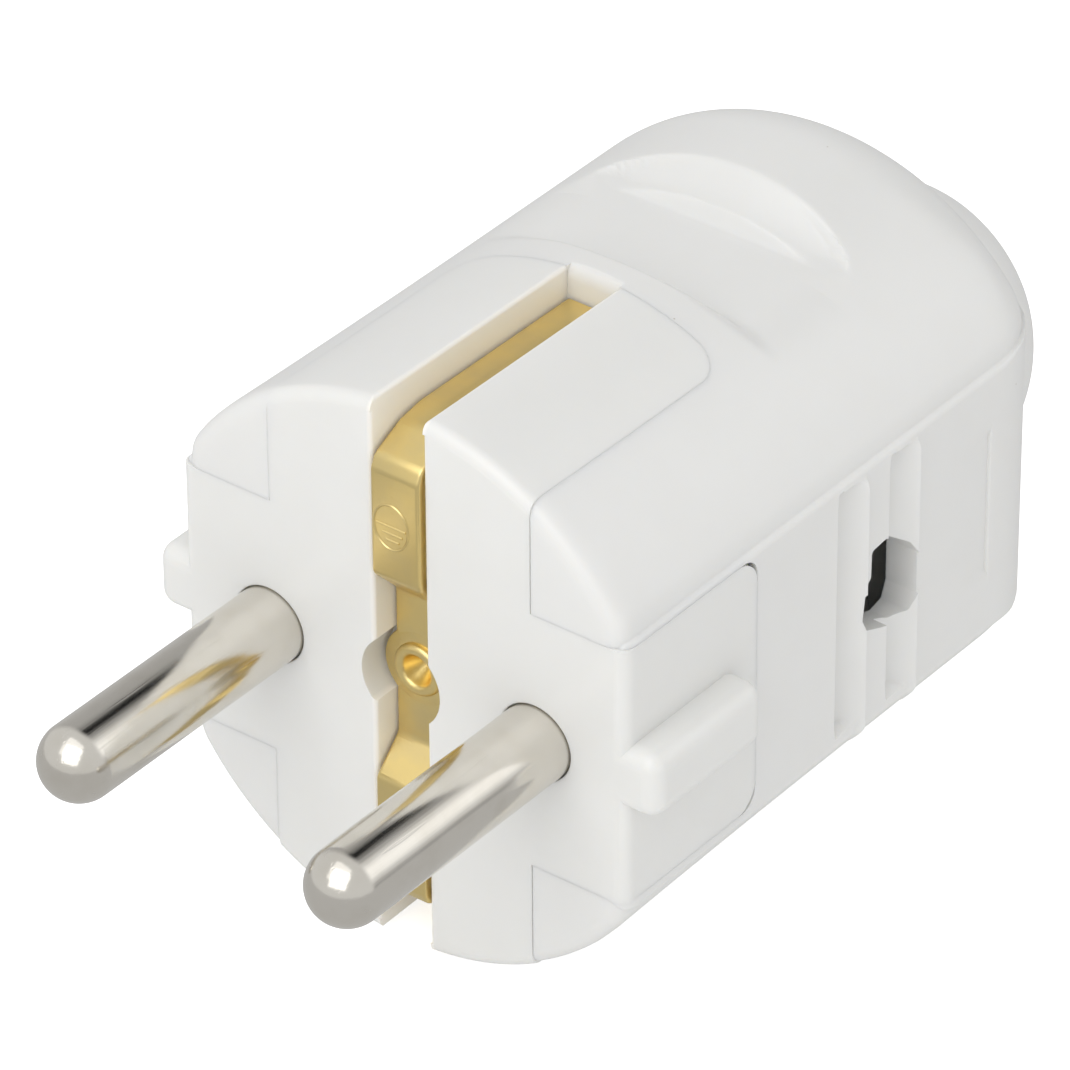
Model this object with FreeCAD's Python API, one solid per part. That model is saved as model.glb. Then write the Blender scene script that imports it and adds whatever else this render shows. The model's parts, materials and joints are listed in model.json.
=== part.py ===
import FreeCAD, Part
import math
import os

# Two-pin earthed plug, type F.  Millimetres.  The middle of the engagement face is
# the origin: +Y runs back to the cable end, the pins point along -Y, +Z is up.

# Body outline: round, a little wider at the face, with two flats
BODY_R = 18.05
FACE_R = 18.3
TAPER_END_Y = 16.0
FLAT_X = 15.75
HOOD_REAR_Y = 43.24
SHOULDER_R = 6.6
PLAN_CORNER_R = 7.45
FRONT_EDGE_R = 0.7
DOME_R = 10.45
DOME_Y = 43.7
DOME_END_Y = 52.0
CABLE_HOLE_R = 4.3
DOME_WALL = 2.0
FIT = 0.08

# Raised panel on each flat, and the base it stands on
BASE_X = 15.45
SIDE_Z = (-9.45, 8.95)
SIDE_EDGE_R = 0.5
SIDE_REACH = 0.4

# Hollow inside the hood
CAVITY_X = 13.75
CAVITY_Z = 13.4
CAVITY_R = 16.1
CAVITY_REAR_Y = 38.0
CAVITY_STEP = 9.6
CAVITY_END_Y = 41.2

# Contact carrier, cross-shaped on the face
BAND_X = 9.2
PAD_END_Y = 17.8
PAD_CORNER_R = 2.0
PANEL_Z = 8.55
PANEL_END_Y = 12.2
PANEL_REAR_R = 1.8
POCKET_CORNER_R = 1.25
FACE_PLATE = 5.0
CARRIER_EDGE_R = 0.8

# Guide lugs on the side panels
LUG_X = 17.9
LUG_Z = 2.1
LUG_END_Y = 10.2
LUG_EDGE_R = 1.1

# Finger scoops, top and bottom
SCOOP_FLOOR_Z = 15.6
SCOOP_FRONT_Y = 19.9
SCOOP_FLOOR_Y = 21.5
SCOOP_STEP_Y = 29.2
SCOOP_STEP_TOP = (29.8, 16.6)
SCOOP_RAMP_RISE = 0.625
SCOOP_RAMP_R = 25.0
SCOOP_HALF_X = 9.4
SCOOP_OVAL_Y = 28.6
SCOOP_OVAL_REACH = 3.6

# Grip ribs, snap windows and shallow recesses on the two flats.  The rib section gives
# (Y from the start, height over the flat); each rib lies in a room with round ends.
RIB_Y = (19.85, 24.85)
RIB_SECTION = [(-0.3, -1.2), (-0.3, -0.8), (0.9, -0.65), (2.65, 0.4), (2.9, -0.2), (2.9, -1.2)]
RIB_Z = (-9.93, 8.9)
RIB_END_R = 1.6
RIB_TOP = 0.4
ROOM_LENGTH = 2.4
ROOM_DEPTH = 1.0
ROOM_Z = 8.3
ROOM_END_R = 0.75
WINDOW_OUTLINE = [(23.2, 2.8), (24.6, 2.95), (27.0, 1.4), (27.45, 0.6), (27.45, -2.2), (27.0, -3.3),
                  (25.9, -3.55), (24.1, -2.95), (22.45, -2.3), (22.2, -1.4), (22.3, 0.3), (23.15, 1.0)]
WINDOW_CORNER_R = 0.25
RECESS_Y = (31.4, 34.85)
RECESS_Z = 4.8
RECESS_DEPTH = 0.3

# Earth strip, one bent piece of brass; the outline gives its outer side (Y, Z)
STRIP_HALF = 1.7
STRIP_THICK = 0.8
STRIP_TOP = [(17.6, 16.0), (4.2, 16.15), (2.4, 15.85), (0.1, 14.8), (-0.3, 14.0),
             (-0.3, 7.0), (1.72, 4.95)]
STRIP_BEND = [0.0, 4.0, 2.0, 0.9, 0.9, 0.7, 0.7]
STRIP_DISC_R = 2.55
SLOT_HALF = 1.85
SLOT_DISC_R = 2.8

# Hollow rivet that holds the strip
RIVET_R = 1.2
RIVET_HOLE_R = 0.95
RIVET_HEAD_R = 1.68
RIVET_FRONT_Y = 1.3

# Contact pins
PIN_X = 9.5
PIN_R = 2.4
PIN_TIP_Y = -19.0
PIN_ROOT_R = 2.5
PIN_HOLE_R = 2.55
NECK_R = 2.8
COLLAR_R = 3.3
COLLAR_THICK = 1.2
BLOCK_HALF = 2.9
BLOCK_END_Y = 15.0
WIRE_HOLE_R = 1.5
WIRE_HOLE_DEPTH = 7.5

# Retaining plate behind the collars
PLATE_THICK = 1.6
PLATE_X = 12.5
PLATE_Z = 4.2

# Screws of the terminals
SCREW_R = 1.5
SCREW_HEAD_R = 2.4
SCREW_HEAD = 1.7
SCREW_SLOT = 0.8
TERMINAL_SCREW_Y = 11.4
PRESS_THICK = 0.8

# Earth terminal
EARTH_HALF = 2.9
EARTH_Z = (3.4, 9.2)
EARTH_END_Y = 14.4
EARTH_FOOT = 1.2

# Cord clamp
PLATFORM_Z = (-9.4, -7.4)
PLATFORM_X = 6.6
PLATFORM_END_Y = 36.0
SADDLE_Y = (29.6, 35.4)
SADDLE_X = 11.0
SADDLE_TOP_Z = -1.6
CORD_R = 4.0
CLAMP_BAR_Z = (1.4, 5.6)
CLAMP_BAR_Y = (30.2, 34.8)
CLAMP_SCREW_X = 7.8
CLAMP_NUT_HALF = 2.6
CLAMP_NUT_Z = (-8.6, -6.4)

# Snap arms that lock the carrier into the hood
ARM_X = (12.6, 13.6)
ARM_Z = 2.0
ARM_END_Y = 24.5
ARM_HOOK_Y = 23.4
ARM_HOOK_X = 14.5


def vec(x, y, z):
    return FreeCAD.Vector(x, y, z)


def block(x, y, z):
    """Box between the two ends given for each axis."""
    corner = vec(min(x), min(y), min(z))
    return Part.makeBox(abs(x[1] - x[0]), abs(y[1] - y[0]), abs(z[1] - z[0]), corner)


def rod(radius, start, end):
    """Round bar between two points."""
    way = vec(*end) - vec(*start)
    return Part.makeCylinder(radius, way.Length, vec(*start), way)


def corner_arc(before, point, after, radius):
    """Start, middle and end of the arc that rounds one corner of an outline."""
    a = vec(before[0] - point[0], before[1] - point[1], 0)
    b = vec(after[0] - point[0], after[1] - point[1], 0)
    half = a.getAngle(b) / 2
    a.normalize()
    b.normalize()
    reach = radius / math.tan(half)
    middle = a + b
    middle.normalize()
    base = vec(point[0], point[1], 0)
    top = base + middle * (radius / math.sin(half) - radius)
    return base + a * reach, top, base + b * reach


def outline_edges(points, radii):
    """Closed outline with a radius for each corner, as lines and arcs."""
    count = len(points)
    stops = []
    for i in range(count):
        point = points[i]
        if radii[i] == 0:
            stops.append([vec(point[0], point[1], 0)])
        else:
            stops.append(list(corner_arc(points[i - 1], point, points[(i + 1) % count], radii[i])))
    edges = []
    for i in range(count):
        here = stops[i]
        following = stops[(i + 1) % count]
        if len(here) == 3:
            edges.append(Part.Arc(*here).toShape())
        if (following[0] - here[-1]).Length > 0.0001:
            edges.append(Part.makeLine(here[-1], following[0]))
    return edges


def prism(points, axis, low, high, radii=None):
    """Outline extruded along one axis: (Y, Z) for x, (X, Z) for y, (X, Y) for z."""
    edges = outline_edges(points, radii or [0] * len(points))
    face = Part.Face(Part.Wire(edges))
    if axis == "z":
        place = FreeCAD.Matrix(1, 0, 0, 0, 0, 1, 0, 0, 0, 0, 1, low, 0, 0, 0, 1)
        way = vec(0, 0, high - low)
    elif axis == "x":
        place = FreeCAD.Matrix(0, 0, 1, low, 1, 0, 0, 0, 0, 1, 0, 0, 0, 0, 0, 1)
        way = vec(high - low, 0, 0)
    else:
        place = FreeCAD.Matrix(1, 0, 0, 0, 0, 0, -1, low, 0, 1, 0, 0, 0, 0, 0, 1)
        way = vec(0, high - low, 0)
    face.transformShape(place)
    return face.extrude(way)


def both_sides(shape, normal):
    """A shape and its mirror image through the origin."""
    return [shape, shape.mirror(vec(0, 0, 0), normal)]


def join(shapes):
    return shapes[0].multiFuse(shapes[1:]).removeSplitter()


def round_edges(shape, radius, wanted):
    """Fillet the edges whose middle point passes the test."""
    edges = []
    for edge in shape.Edges:
        middle = edge.valueAt((edge.FirstParameter + edge.LastParameter) / 2)
        if wanted(edge, middle):
            edges.append(edge)
    return shape.makeFillet(radius, edges)


def runs_along(edge, way):
    """True for a straight edge parallel to the given direction."""
    if edge.Curve.TypeId != "Part::GeomLine":
        return False
    return abs(abs(edge.Curve.Direction.dot(way)) - 1) < 0.0001


def offset_line(points, distance):
    """Open outline moved sideways, corners mitred."""
    moved = []
    for i in range(len(points)):
        before = points[max(i - 1, 0)]
        after = points[min(i + 1, len(points) - 1)]
        ways = []
        for start, end in ((before, points[i]), (points[i], after)):
            if start != end:
                way = vec(end[0] - start[0], end[1] - start[1], 0)
                way.normalize()
                ways.append(vec(-way.y, way.x, 0))
        side = ways[0] + ways[-1]
        side.normalize()
        reach = distance / side.dot(ways[0])
        moved.append((points[i][0] + side.x * reach, points[i][1] + side.y * reach))
    return moved


# Hood

def round_form(reach=0.0):
    """Round outer form turned about the plug's axis, wider by the reach."""
    face = FACE_R + reach
    body = BODY_R + reach
    points = [(0, 0), (face, 0), (body, TAPER_END_Y), (body, HOOD_REAR_Y), (0, HOOD_REAR_Y)]
    edges = outline_edges(points, [0, FRONT_EDGE_R, 0, SHOULDER_R, 0])
    return Part.Face(Part.Wire(edges)).revolve(vec(0, 0, 0), vec(0, 1, 0), 360)


def flat_plan():
    """Plan of the flats with the round rear corners."""
    points = [(-FLAT_X, -1), (FLAT_X, -1), (FLAT_X, HOOD_REAR_Y), (-FLAT_X, HOOD_REAR_Y)]
    return prism(points, "z", -20, 20, [0, 0, PLAN_CORNER_R, PLAN_CORNER_R])


def side_panel():
    """Raised panel on the right flat; it dies out in the rear corner."""
    inner = BASE_X - 1
    low, high = SIDE_Z
    outline = [(inner, low), (FLAT_X, low), (FLAT_X, high), (inner, high)]
    bar = prism(outline, "y", 0, HOOD_REAR_Y, [0, SIDE_EDGE_R, SIDE_EDGE_R, 0])
    return bar.common(flat_plan()).common(round_form(SIDE_REACH))


def dome():
    ball = Part.makeSphere(DOME_R, vec(0, DOME_Y, 0))
    ball = ball.cut(block((-20, 20), (DOME_END_Y, 70), (-20, 20)))
    ball = ball.cut(block((-20, 20), (20, HOOD_REAR_Y - 3), (-20, 20)))
    return round_edges(ball, 0.8, lambda edge, middle: abs(middle.y - DOME_END_Y) < 0.01
                       and edge.Length > DOME_R / 2)


def front_opening():
    """Room for the cross-shaped carrier at the front of the hood."""
    wide = BAND_X + FIT
    tall = PANEL_Z + FIT
    pad_end = PAD_END_Y + FIT
    panel_end = PANEL_END_Y + FIT
    corner = PAD_CORNER_R + FIT
    band_plan = [(-wide, -1), (wide, -1), (wide, pad_end), (-wide, pad_end)]
    band = prism(band_plan, "z", -20, 20, [0, 0, corner, corner])
    panel_side = [(-1, -tall), (panel_end, -tall), (panel_end, tall), (-1, tall)]
    panel = prism(panel_side, "x", -20, 20, [0, POCKET_CORNER_R, POCKET_CORNER_R, 0])
    inner = block((-CAVITY_X, CAVITY_X), (-1, PAD_END_Y + 1), (-tall, tall))
    return join([band, panel, inner])


def hood_cavity():
    """Hollow behind the carrier, stepped in towards the cable entry."""
    main = block((-CAVITY_X, CAVITY_X), (PAD_END_Y, CAVITY_REAR_Y), (-CAVITY_Z, CAVITY_Z))
    main = main.common(rod(CAVITY_R, (0, PAD_END_Y, 0), (0, CAVITY_REAR_Y, 0)))
    step = block((-CAVITY_STEP, CAVITY_STEP), (CAVITY_REAR_Y - 1, CAVITY_END_Y), (-CAVITY_STEP, CAVITY_STEP))
    neck = Part.makeSphere(DOME_R - DOME_WALL, vec(0, DOME_Y, 0))
    neck = neck.common(block((-20, 20), (CAVITY_REAR_Y, DOME_END_Y - DOME_WALL), (-20, 20)))
    hole = rod(CABLE_HOLE_R, (0, CAVITY_REAR_Y, 0), (0, DOME_END_Y + 1, 0))
    return join([main, step, neck, hole])


def scoop():
    """Finger scoop on the top: sloped front wall, flat floor, step and ramp."""
    rise = (BODY_R - SCOOP_FLOOR_Z) / (SCOOP_FLOOR_Y - SCOOP_FRONT_Y)
    top = 20.0
    front = SCOOP_FLOOR_Y - (top - SCOOP_FLOOR_Z) / rise
    step = (SCOOP_STEP_TOP[0] - SCOOP_STEP_Y) / (SCOOP_STEP_TOP[1] - SCOOP_FLOOR_Z)
    rear = SCOOP_STEP_Y + step * (top - SCOOP_FLOOR_Z)
    section = [(front, top), (SCOOP_FLOOR_Y, SCOOP_FLOOR_Z), (SCOOP_STEP_Y, SCOOP_FLOOR_Z), (rear, top)]
    floor = prism(section, "x", -12, 12, [0, 0.5, 0, 0])
    start = vec(0, SCOOP_STEP_TOP[0], SCOOP_STEP_TOP[1] - SCOOP_RAMP_R * math.hypot(1, SCOOP_RAMP_RISE))
    way = vec(0, 1, SCOOP_RAMP_RISE)
    way.normalize()
    ramp_core = Part.makeCylinder(SCOOP_RAMP_R, 60, start - way * 30, way)
    ramp = block((-12, 12), (SCOOP_STEP_Y, 34), (SCOOP_FLOOR_Z, top)).cut(ramp_core)
    oval = Part.Ellipse(vec(0, SCOOP_OVAL_Y, 0), SCOOP_HALF_X, SCOOP_OVAL_REACH)
    oval_plate = Part.Face(Part.Wire(oval.toShape())).extrude(vec(0, 0, 30))
    long_plate = block((-SCOOP_HALF_X, SCOOP_HALF_X), (15, SCOOP_OVAL_Y), (0, 30))
    plan = oval_plate.fuse(long_plate)
    return floor.fuse(ramp).common(plan)


def rib_room(start):
    """Room in the right flat that takes one grip rib, with round lower ends."""
    deep = FLAT_X - ROOM_DEPTH
    room = [(deep, -ROOM_Z), (FLAT_X + 2, -ROOM_Z), (FLAT_X + 2, ROOM_Z), (deep, ROOM_Z)]
    return prism(room, "y", start, start + ROOM_LENGTH, [ROOM_END_R, 0, 0, ROOM_END_R])


def rib(start):
    """One grip rib: a ramp from the hollow behind the sharp edge up to a crest."""
    section = [(FLAT_X + height, start + way) for way, height in RIB_SECTION]
    low, high = RIB_Z
    bar = prism(section, "z", low, high)
    top = FLAT_X + RIB_TOP
    ends = [(FLAT_X - 2, low), (top, low), (top, high), (FLAT_X - 2, high)]
    return bar.common(prism(ends, "y", start - 1, start + 4, [0, RIB_END_R, RIB_END_R, 0]))


def flat_recess():
    """Shallow wedge near the rear of the right flat."""
    near, far = RECESS_Y
    wedge = [(FLAT_X + 0.5, near), (FLAT_X, near), (FLAT_X - RECESS_DEPTH, far), (FLAT_X + 0.5, far)]
    return prism(wedge, "z", -RECESS_Z, RECESS_Z)


def snap_window():
    """Opening in the right flat where the hook of the snap arm is seen."""
    radii = [WINDOW_CORNER_R] * len(WINDOW_OUTLINE)
    return prism(WINDOW_OUTLINE, "x", CAVITY_X - 1, FLAT_X + 1, radii)


def hood():
    """Outer cover: round form with flats, dome, ribs, scoops and windows."""
    across = vec(1, 0, 0)
    body = round_form().common(flat_plan()).common(block((-BASE_X, BASE_X), (-1, 50), (-20, 20)))
    body = join([body, dome()] + both_sides(side_panel(), across))
    rooms = []
    ribs = []
    for start in RIB_Y:
        rooms += both_sides(rib_room(start), across)
        ribs += both_sides(rib(start), across)
    body = join([body.cut(rooms)] + ribs)
    cuts = [front_opening(), hood_cavity()]
    cuts += both_sides(scoop(), vec(0, 0, 1))
    cuts += both_sides(snap_window(), across)
    cuts += both_sides(flat_recess(), across)
    return body.cut(cuts).removeSplitter()


# Contact carrier

def strip_outer():
    """Outer side of the earth strip from the top rear end to the bottom rear end."""
    lower = [(y, -z) for y, z in reversed(STRIP_TOP)]
    return STRIP_TOP + lower


def strip_section():
    """Closed outline of the bent strip and the radius of each corner."""
    inner = offset_line(strip_outer(), STRIP_THICK)
    bends = STRIP_BEND + list(reversed(STRIP_BEND))
    inside = []
    for bend in bends:
        inside.append(max(bend - STRIP_THICK, 0.15) if bend else 0)
    return strip_outer() + list(reversed(inner)), bends + list(reversed(inside))


def cross_form():
    """Cross on the face: upright band with round ends, level band with flat ends."""
    band_plan = [(-BAND_X, 0), (BAND_X, 0), (BAND_X, PAD_END_Y), (-BAND_X, PAD_END_Y)]
    band = prism(band_plan, "z", -20, 20, [0, 0, PAD_CORNER_R, PAD_CORNER_R]).common(round_form())
    panel_side = [(0, -PANEL_Z), (PANEL_END_Y, -PANEL_Z), (PANEL_END_Y, PANEL_Z), (0, PANEL_Z)]
    panel = prism(panel_side, "x", -FLAT_X, FLAT_X, [0, PANEL_REAR_R, PANEL_REAR_R, 0])
    core = block((-BAND_X, BAND_X), (0, PANEL_END_Y), (-PANEL_Z, PANEL_Z))
    form = join([band, panel, core])
    return round_edges(form, CARRIER_EDGE_R, lambda edge, middle: abs(middle.y) < 0.01
                       and abs(abs(middle.x) - FLAT_X) < 0.01)


def carrier_chambers():
    """Rooms for the terminals, open to the rear."""
    rear = PAD_END_Y + 1
    rooms = []
    side = block((6.4, 12.85), (FACE_PLATE, rear), (-7.2, 7.2))
    rooms += both_sides(side, vec(1, 0, 0))
    rooms.append(block((-4.8, 4.8), (FACE_PLATE, rear), (-13.2, 13.2)))
    upper = block((-7.6, 7.6), (FACE_PLATE, rear), (9.6, 13.2))
    rooms += both_sides(upper, vec(0, 0, 1))
    wide = PLATE_X + 0.1
    tall = PLATE_Z + 0.1
    rooms.append(block((-wide, wide), (FACE_PLATE, FACE_PLATE + PLATE_THICK), (-tall, tall)))
    return rooms


def strip_slot():
    """Slot for the earth strip across the face and along the pads, round in the middle."""
    floor = offset_line(strip_outer(), STRIP_THICK + 0.03)
    path = [(25, floor[0][1])] + floor + [(25, floor[-1][1])]
    outside = [(25, -30), (-5, -30), (-5, 30), (25, 30)]
    slot = prism(path + outside, "x", -SLOT_HALF, SLOT_HALF)
    middle_y = STRIP_TOP[-1][0] + STRIP_THICK + 0.03
    return [slot, rod(SLOT_DISC_R, (0, -1, 0), (0, middle_y, 0))]


def pin_seats():
    """Holes for the pins with a seat for each collar."""
    seats = []
    for x in (-PIN_X, PIN_X):
        seats.append(rod(PIN_HOLE_R, (x, -1, 0), (x, 6, 0)))
        seats.append(rod(COLLAR_R + 0.1, (x, FACE_PLATE - COLLAR_THICK, 0), (x, 6, 0)))
    return seats


def lug():
    """Guide lug on the right side panel."""
    bar = block((FLAT_X - 1, LUG_X), (0, LUG_END_Y), (-LUG_Z, LUG_Z))
    return round_edges(bar, LUG_EDGE_R, lambda edge, middle: middle.x > FLAT_X)


def snap_arm():
    """Spring arm with a hook, on the right of the carrier."""
    arm = block(ARM_X, (FACE_PLATE, ARM_END_Y), (-ARM_Z, ARM_Z))
    hook = [(ARM_X[0], ARM_HOOK_Y), (ARM_HOOK_X, ARM_HOOK_Y), (ARM_HOOK_X, ARM_HOOK_Y + 0.4),
            (ARM_X[1], ARM_END_Y), (ARM_X[0], ARM_END_Y)]
    return arm.fuse(prism(hook, "z", -ARM_Z, ARM_Z))


def cord_saddle():
    """Platform behind the chambers with the lower half of the cord clamp."""
    platform = block((-PLATFORM_X, PLATFORM_X), (FACE_PLATE - 1, PLATFORM_END_Y), PLATFORM_Z)
    saddle = block((-SADDLE_X, SADDLE_X), SADDLE_Y, (PLATFORM_Z[0], SADDLE_TOP_Z))
    saddle = saddle.cut(rod(CORD_R, (0, 0, 0), (0, 50, 0)))
    form = platform.fuse(saddle)
    middle = (SADDLE_Y[0] + SADDLE_Y[1]) / 2
    for x in (-CLAMP_SCREW_X, CLAMP_SCREW_X):
        form = form.cut(rod(SCREW_R + 0.2, (x, middle, -20), (x, middle, 0)))
        half = CLAMP_NUT_HALF + 0.1
        pocket = block((x - half, x + half), (middle - half, SADDLE_Y[1] + 1), CLAMP_NUT_Z)
        form = form.cut(pocket)
    return form


def contact_carrier():
    form = cross_form()
    form = form.cut(carrier_chambers() + strip_slot() + pin_seats())
    form = form.cut(rod(RIVET_R + 0.02, (0, 0, 0), (0, 6, 0)))
    extras = both_sides(lug(), vec(1, 0, 0)) + both_sides(snap_arm(), vec(1, 0, 0))
    return join([form, cord_saddle()] + extras)


# Contacts

def contact_pin(x):
    """Round pin with a domed tip, a wider root, a collar and a square clamping block."""
    shank = rod(PIN_R, (x, PIN_TIP_Y + PIN_R, 0), (x, 0, 0))
    tip = Part.makeSphere(PIN_R, vec(x, PIN_TIP_Y + PIN_R, 0))
    collar_y = FACE_PLATE - COLLAR_THICK
    root = Part.makeCone(PIN_R, PIN_ROOT_R, collar_y, vec(x, 0, 0), vec(0, 1, 0))
    collar = rod(COLLAR_R, (x, collar_y, 0), (x, FACE_PLATE, 0))
    neck = rod(NECK_R, (x, FACE_PLATE, 0), (x, FACE_PLATE + PLATE_THICK, 0))
    head = block((x - BLOCK_HALF, x + BLOCK_HALF), (FACE_PLATE + PLATE_THICK, BLOCK_END_Y),
                 (-BLOCK_HALF, BLOCK_HALF))
    form = join([shank, tip, root, collar, neck, head])
    form = form.cut(rod(WIRE_HOLE_R, (x, BLOCK_END_Y - WIRE_HOLE_DEPTH, 0), (x, BLOCK_END_Y + 1, 0)))
    return form.cut(rod(SCREW_R, (x, TERMINAL_SCREW_Y, 0), (x, TERMINAL_SCREW_Y, 5)))


def earth_strip():
    """Bent brass strip over the face and both pads, with a round seat in the middle."""
    points, radii = strip_section()
    strip = prism(points, "x", -STRIP_HALF, STRIP_HALF, radii)
    middle_y = STRIP_TOP[-1][0]
    disc = rod(STRIP_DISC_R, (0, middle_y, 0), (0, middle_y + STRIP_THICK, 0))
    form = strip.fuse(disc).removeSplitter()
    return form.cut(rod(RIVET_R + 0.02, (0, 0, 0), (0, 6, 0)))


def hollow_rivet():
    """Tube with a rounded flange in front and a rolled flange behind."""
    strip_y = STRIP_TOP[-1][0]
    rear = FACE_PLATE + PLATE_THICK + EARTH_FOOT + 0.5
    lip = RIVET_HEAD_R - RIVET_R
    section = [(RIVET_HOLE_R, RIVET_FRONT_Y), (RIVET_HEAD_R, RIVET_FRONT_Y), (RIVET_HEAD_R, strip_y),
               (RIVET_R, strip_y), (RIVET_R, rear), (RIVET_R + lip, rear), (RIVET_R + lip, rear + 0.4),
               (RIVET_HOLE_R, rear + 0.4)]
    edges = outline_edges(section, [0.18, 0.2, 0, 0, 0, 0, 0.2, 0.18])
    return Part.Face(Part.Wire(edges)).revolve(vec(0, 0, 0), vec(0, 1, 0), 360)


def rivet_washer():
    start = FACE_PLATE + PLATE_THICK + EARTH_FOOT
    ring = rod(2.6, (0, start, 0), (0, start + 0.5, 0))
    return ring.cut(rod(RIVET_R + 0.05, (0, 0, 0), (0, 20, 0)))


def retaining_plate():
    """Insulating plate behind the pin collars; the necks slide in from both ends."""
    plate = block((-PLATE_X, PLATE_X), (FACE_PLATE, FACE_PLATE + PLATE_THICK), (-PLATE_Z, PLATE_Z))
    half = NECK_R + 0.1
    fork = rod(half, (PIN_X, 0, 0), (PIN_X, 20, 0)).fuse(block((PIN_X, 20), (0, 20), (-half, half)))
    plate = plate.cut(both_sides(fork, vec(1, 0, 0)))
    return plate.cut(rod(RIVET_R + 0.05, (0, 0, 0), (0, 20, 0)))


def earth_terminal():
    """Foot under the rivet with a clamping block standing above it."""
    start = FACE_PLATE + PLATE_THICK
    foot = block((-EARTH_HALF, EARTH_HALF), (start, start + EARTH_FOOT), (-2.6, EARTH_Z[1]))
    head = block((-EARTH_HALF, EARTH_HALF), (start, EARTH_END_Y), EARTH_Z)
    middle = (EARTH_Z[0] + EARTH_Z[1]) / 2
    form = foot.fuse(head)
    form = form.cut(rod(WIRE_HOLE_R, (0, start + 1.6, middle), (0, 20, middle)))
    form = form.cut(rod(SCREW_R, (0, TERMINAL_SCREW_Y, middle), (0, TERMINAL_SCREW_Y, 20)))
    return form.cut(rod(RIVET_R + 0.05, (0, 0, 0), (0, 20, 0))).removeSplitter()


# Screws and the cord clamp

def slotted_screw(x, y, seat, end, way):
    """Cheese-head screw standing along Z, its head on the seat height."""
    shank = rod(SCREW_R, (x, y, seat), (x, y, end))
    head = rod(SCREW_HEAD_R, (x, y, seat), (x, y, seat + way * SCREW_HEAD))
    rim = seat + way * SCREW_HEAD
    head = round_edges(head, 0.3, lambda edge, middle: abs(middle.z - rim) < 0.01 and edge.Length > 5)
    half = SCREW_SLOT / 2
    slot = block((x - 4, x + 4), (y - half, y + half), (rim - way * 0.9, rim + way))
    return shank.fuse(head).cut(slot).removeSplitter()


def pressure_plate(x, low):
    """Small plate in the wire hole that the screw presses on the wire."""
    disc = rod(SCREW_R - 0.12, (x, TERMINAL_SCREW_Y, low), (x, TERMINAL_SCREW_Y, low + PRESS_THICK))
    return disc


def clamp_bar():
    """Upper half of the cord clamp."""
    bar = block((-SADDLE_X, SADDLE_X), CLAMP_BAR_Y, CLAMP_BAR_Z)
    bar = bar.cut(rod(CORD_R, (0, 20, 0), (0, 50, 0)))
    middle = (SADDLE_Y[0] + SADDLE_Y[1]) / 2
    bar = bar.cut([rod(SCREW_R + 0.2, (x, middle, -20), (x, middle, 20)) for x in (-CLAMP_SCREW_X, CLAMP_SCREW_X)])
    return round_edges(bar, 0.8, lambda edge, spot: runs_along(edge, vec(0, 0, 1)) and abs(spot.x) > 10)


def clamp_nut(x):
    """Square nut in the pocket of the saddle."""
    middle = (SADDLE_Y[0] + SADDLE_Y[1]) / 2
    half = CLAMP_NUT_HALF
    nut = block((x - half, x + half), (middle - half, middle + half), (CLAMP_NUT_Z[0], CLAMP_NUT_Z[1]))
    return nut.cut(rod(SCREW_R, (x, middle, -20), (x, middle, 0)))


def pieces():
    """Every piece of the plug by node name."""
    clamp_y = (SADDLE_Y[0] + SADDLE_Y[1]) / 2
    made = {
        "hood": hood(),
        "contact_carrier": contact_carrier(),
        "earth_strip": earth_strip(),
        "earth_rivet": hollow_rivet(),
        "earth_rivet_washer": rivet_washer(),
        "retaining_plate": retaining_plate(),
        "earth_terminal": earth_terminal(),
        "earth_terminal_screw": slotted_screw(0, TERMINAL_SCREW_Y, EARTH_Z[1] + 1, 7.2, 1),
        "earth_pressure_plate": pressure_plate(0, 6.4),
        "cord_clamp_bar": clamp_bar(),
    }
    for side, sign in (("left", -1), ("right", 1)):
        x = sign * PIN_X
        made["pin_" + side] = contact_pin(x)
        made["pin_" + side + "_screw"] = slotted_screw(x, TERMINAL_SCREW_Y, BLOCK_HALF + 1, 0.9, 1)
        made["pin_" + side + "_pressure_plate"] = pressure_plate(x, 0.1)
        screw_x = sign * CLAMP_SCREW_X
        made["cord_clamp_screw_" + side] = slotted_screw(screw_x, clamp_y, CLAMP_BAR_Z[1], -9.2, 1)
        made["cord_clamp_nut_" + side] = clamp_nut(screw_x)
    return made


os.makedirs("parts", exist_ok=True)
for name, shape in pieces().items():
    shape.exportStep("parts/" + name + ".step")
    print(name, shape.ShapeType, len(shape.Solids), shape.isValid(), round(shape.Volume, 1))
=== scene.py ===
"""Looks of an earthed two-pin plug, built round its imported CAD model.

The frame is the CAD model's: the middle of the engagement face is the origin, +Y runs
back to the cable end, the pins point along -Y and +Z is up. Sizes in the classes are
millimetres, and every mesh is written in metres.
"""

import json
import logging
import math
from dataclasses import dataclass, field
from enum import Enum
from typing import Union

import bmesh
import bpy
import numpy as np
from bpy.types import Material, Mesh, Node, NodeSocket, NodeTree, Object
from mathutils import Matrix, Vector


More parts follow.
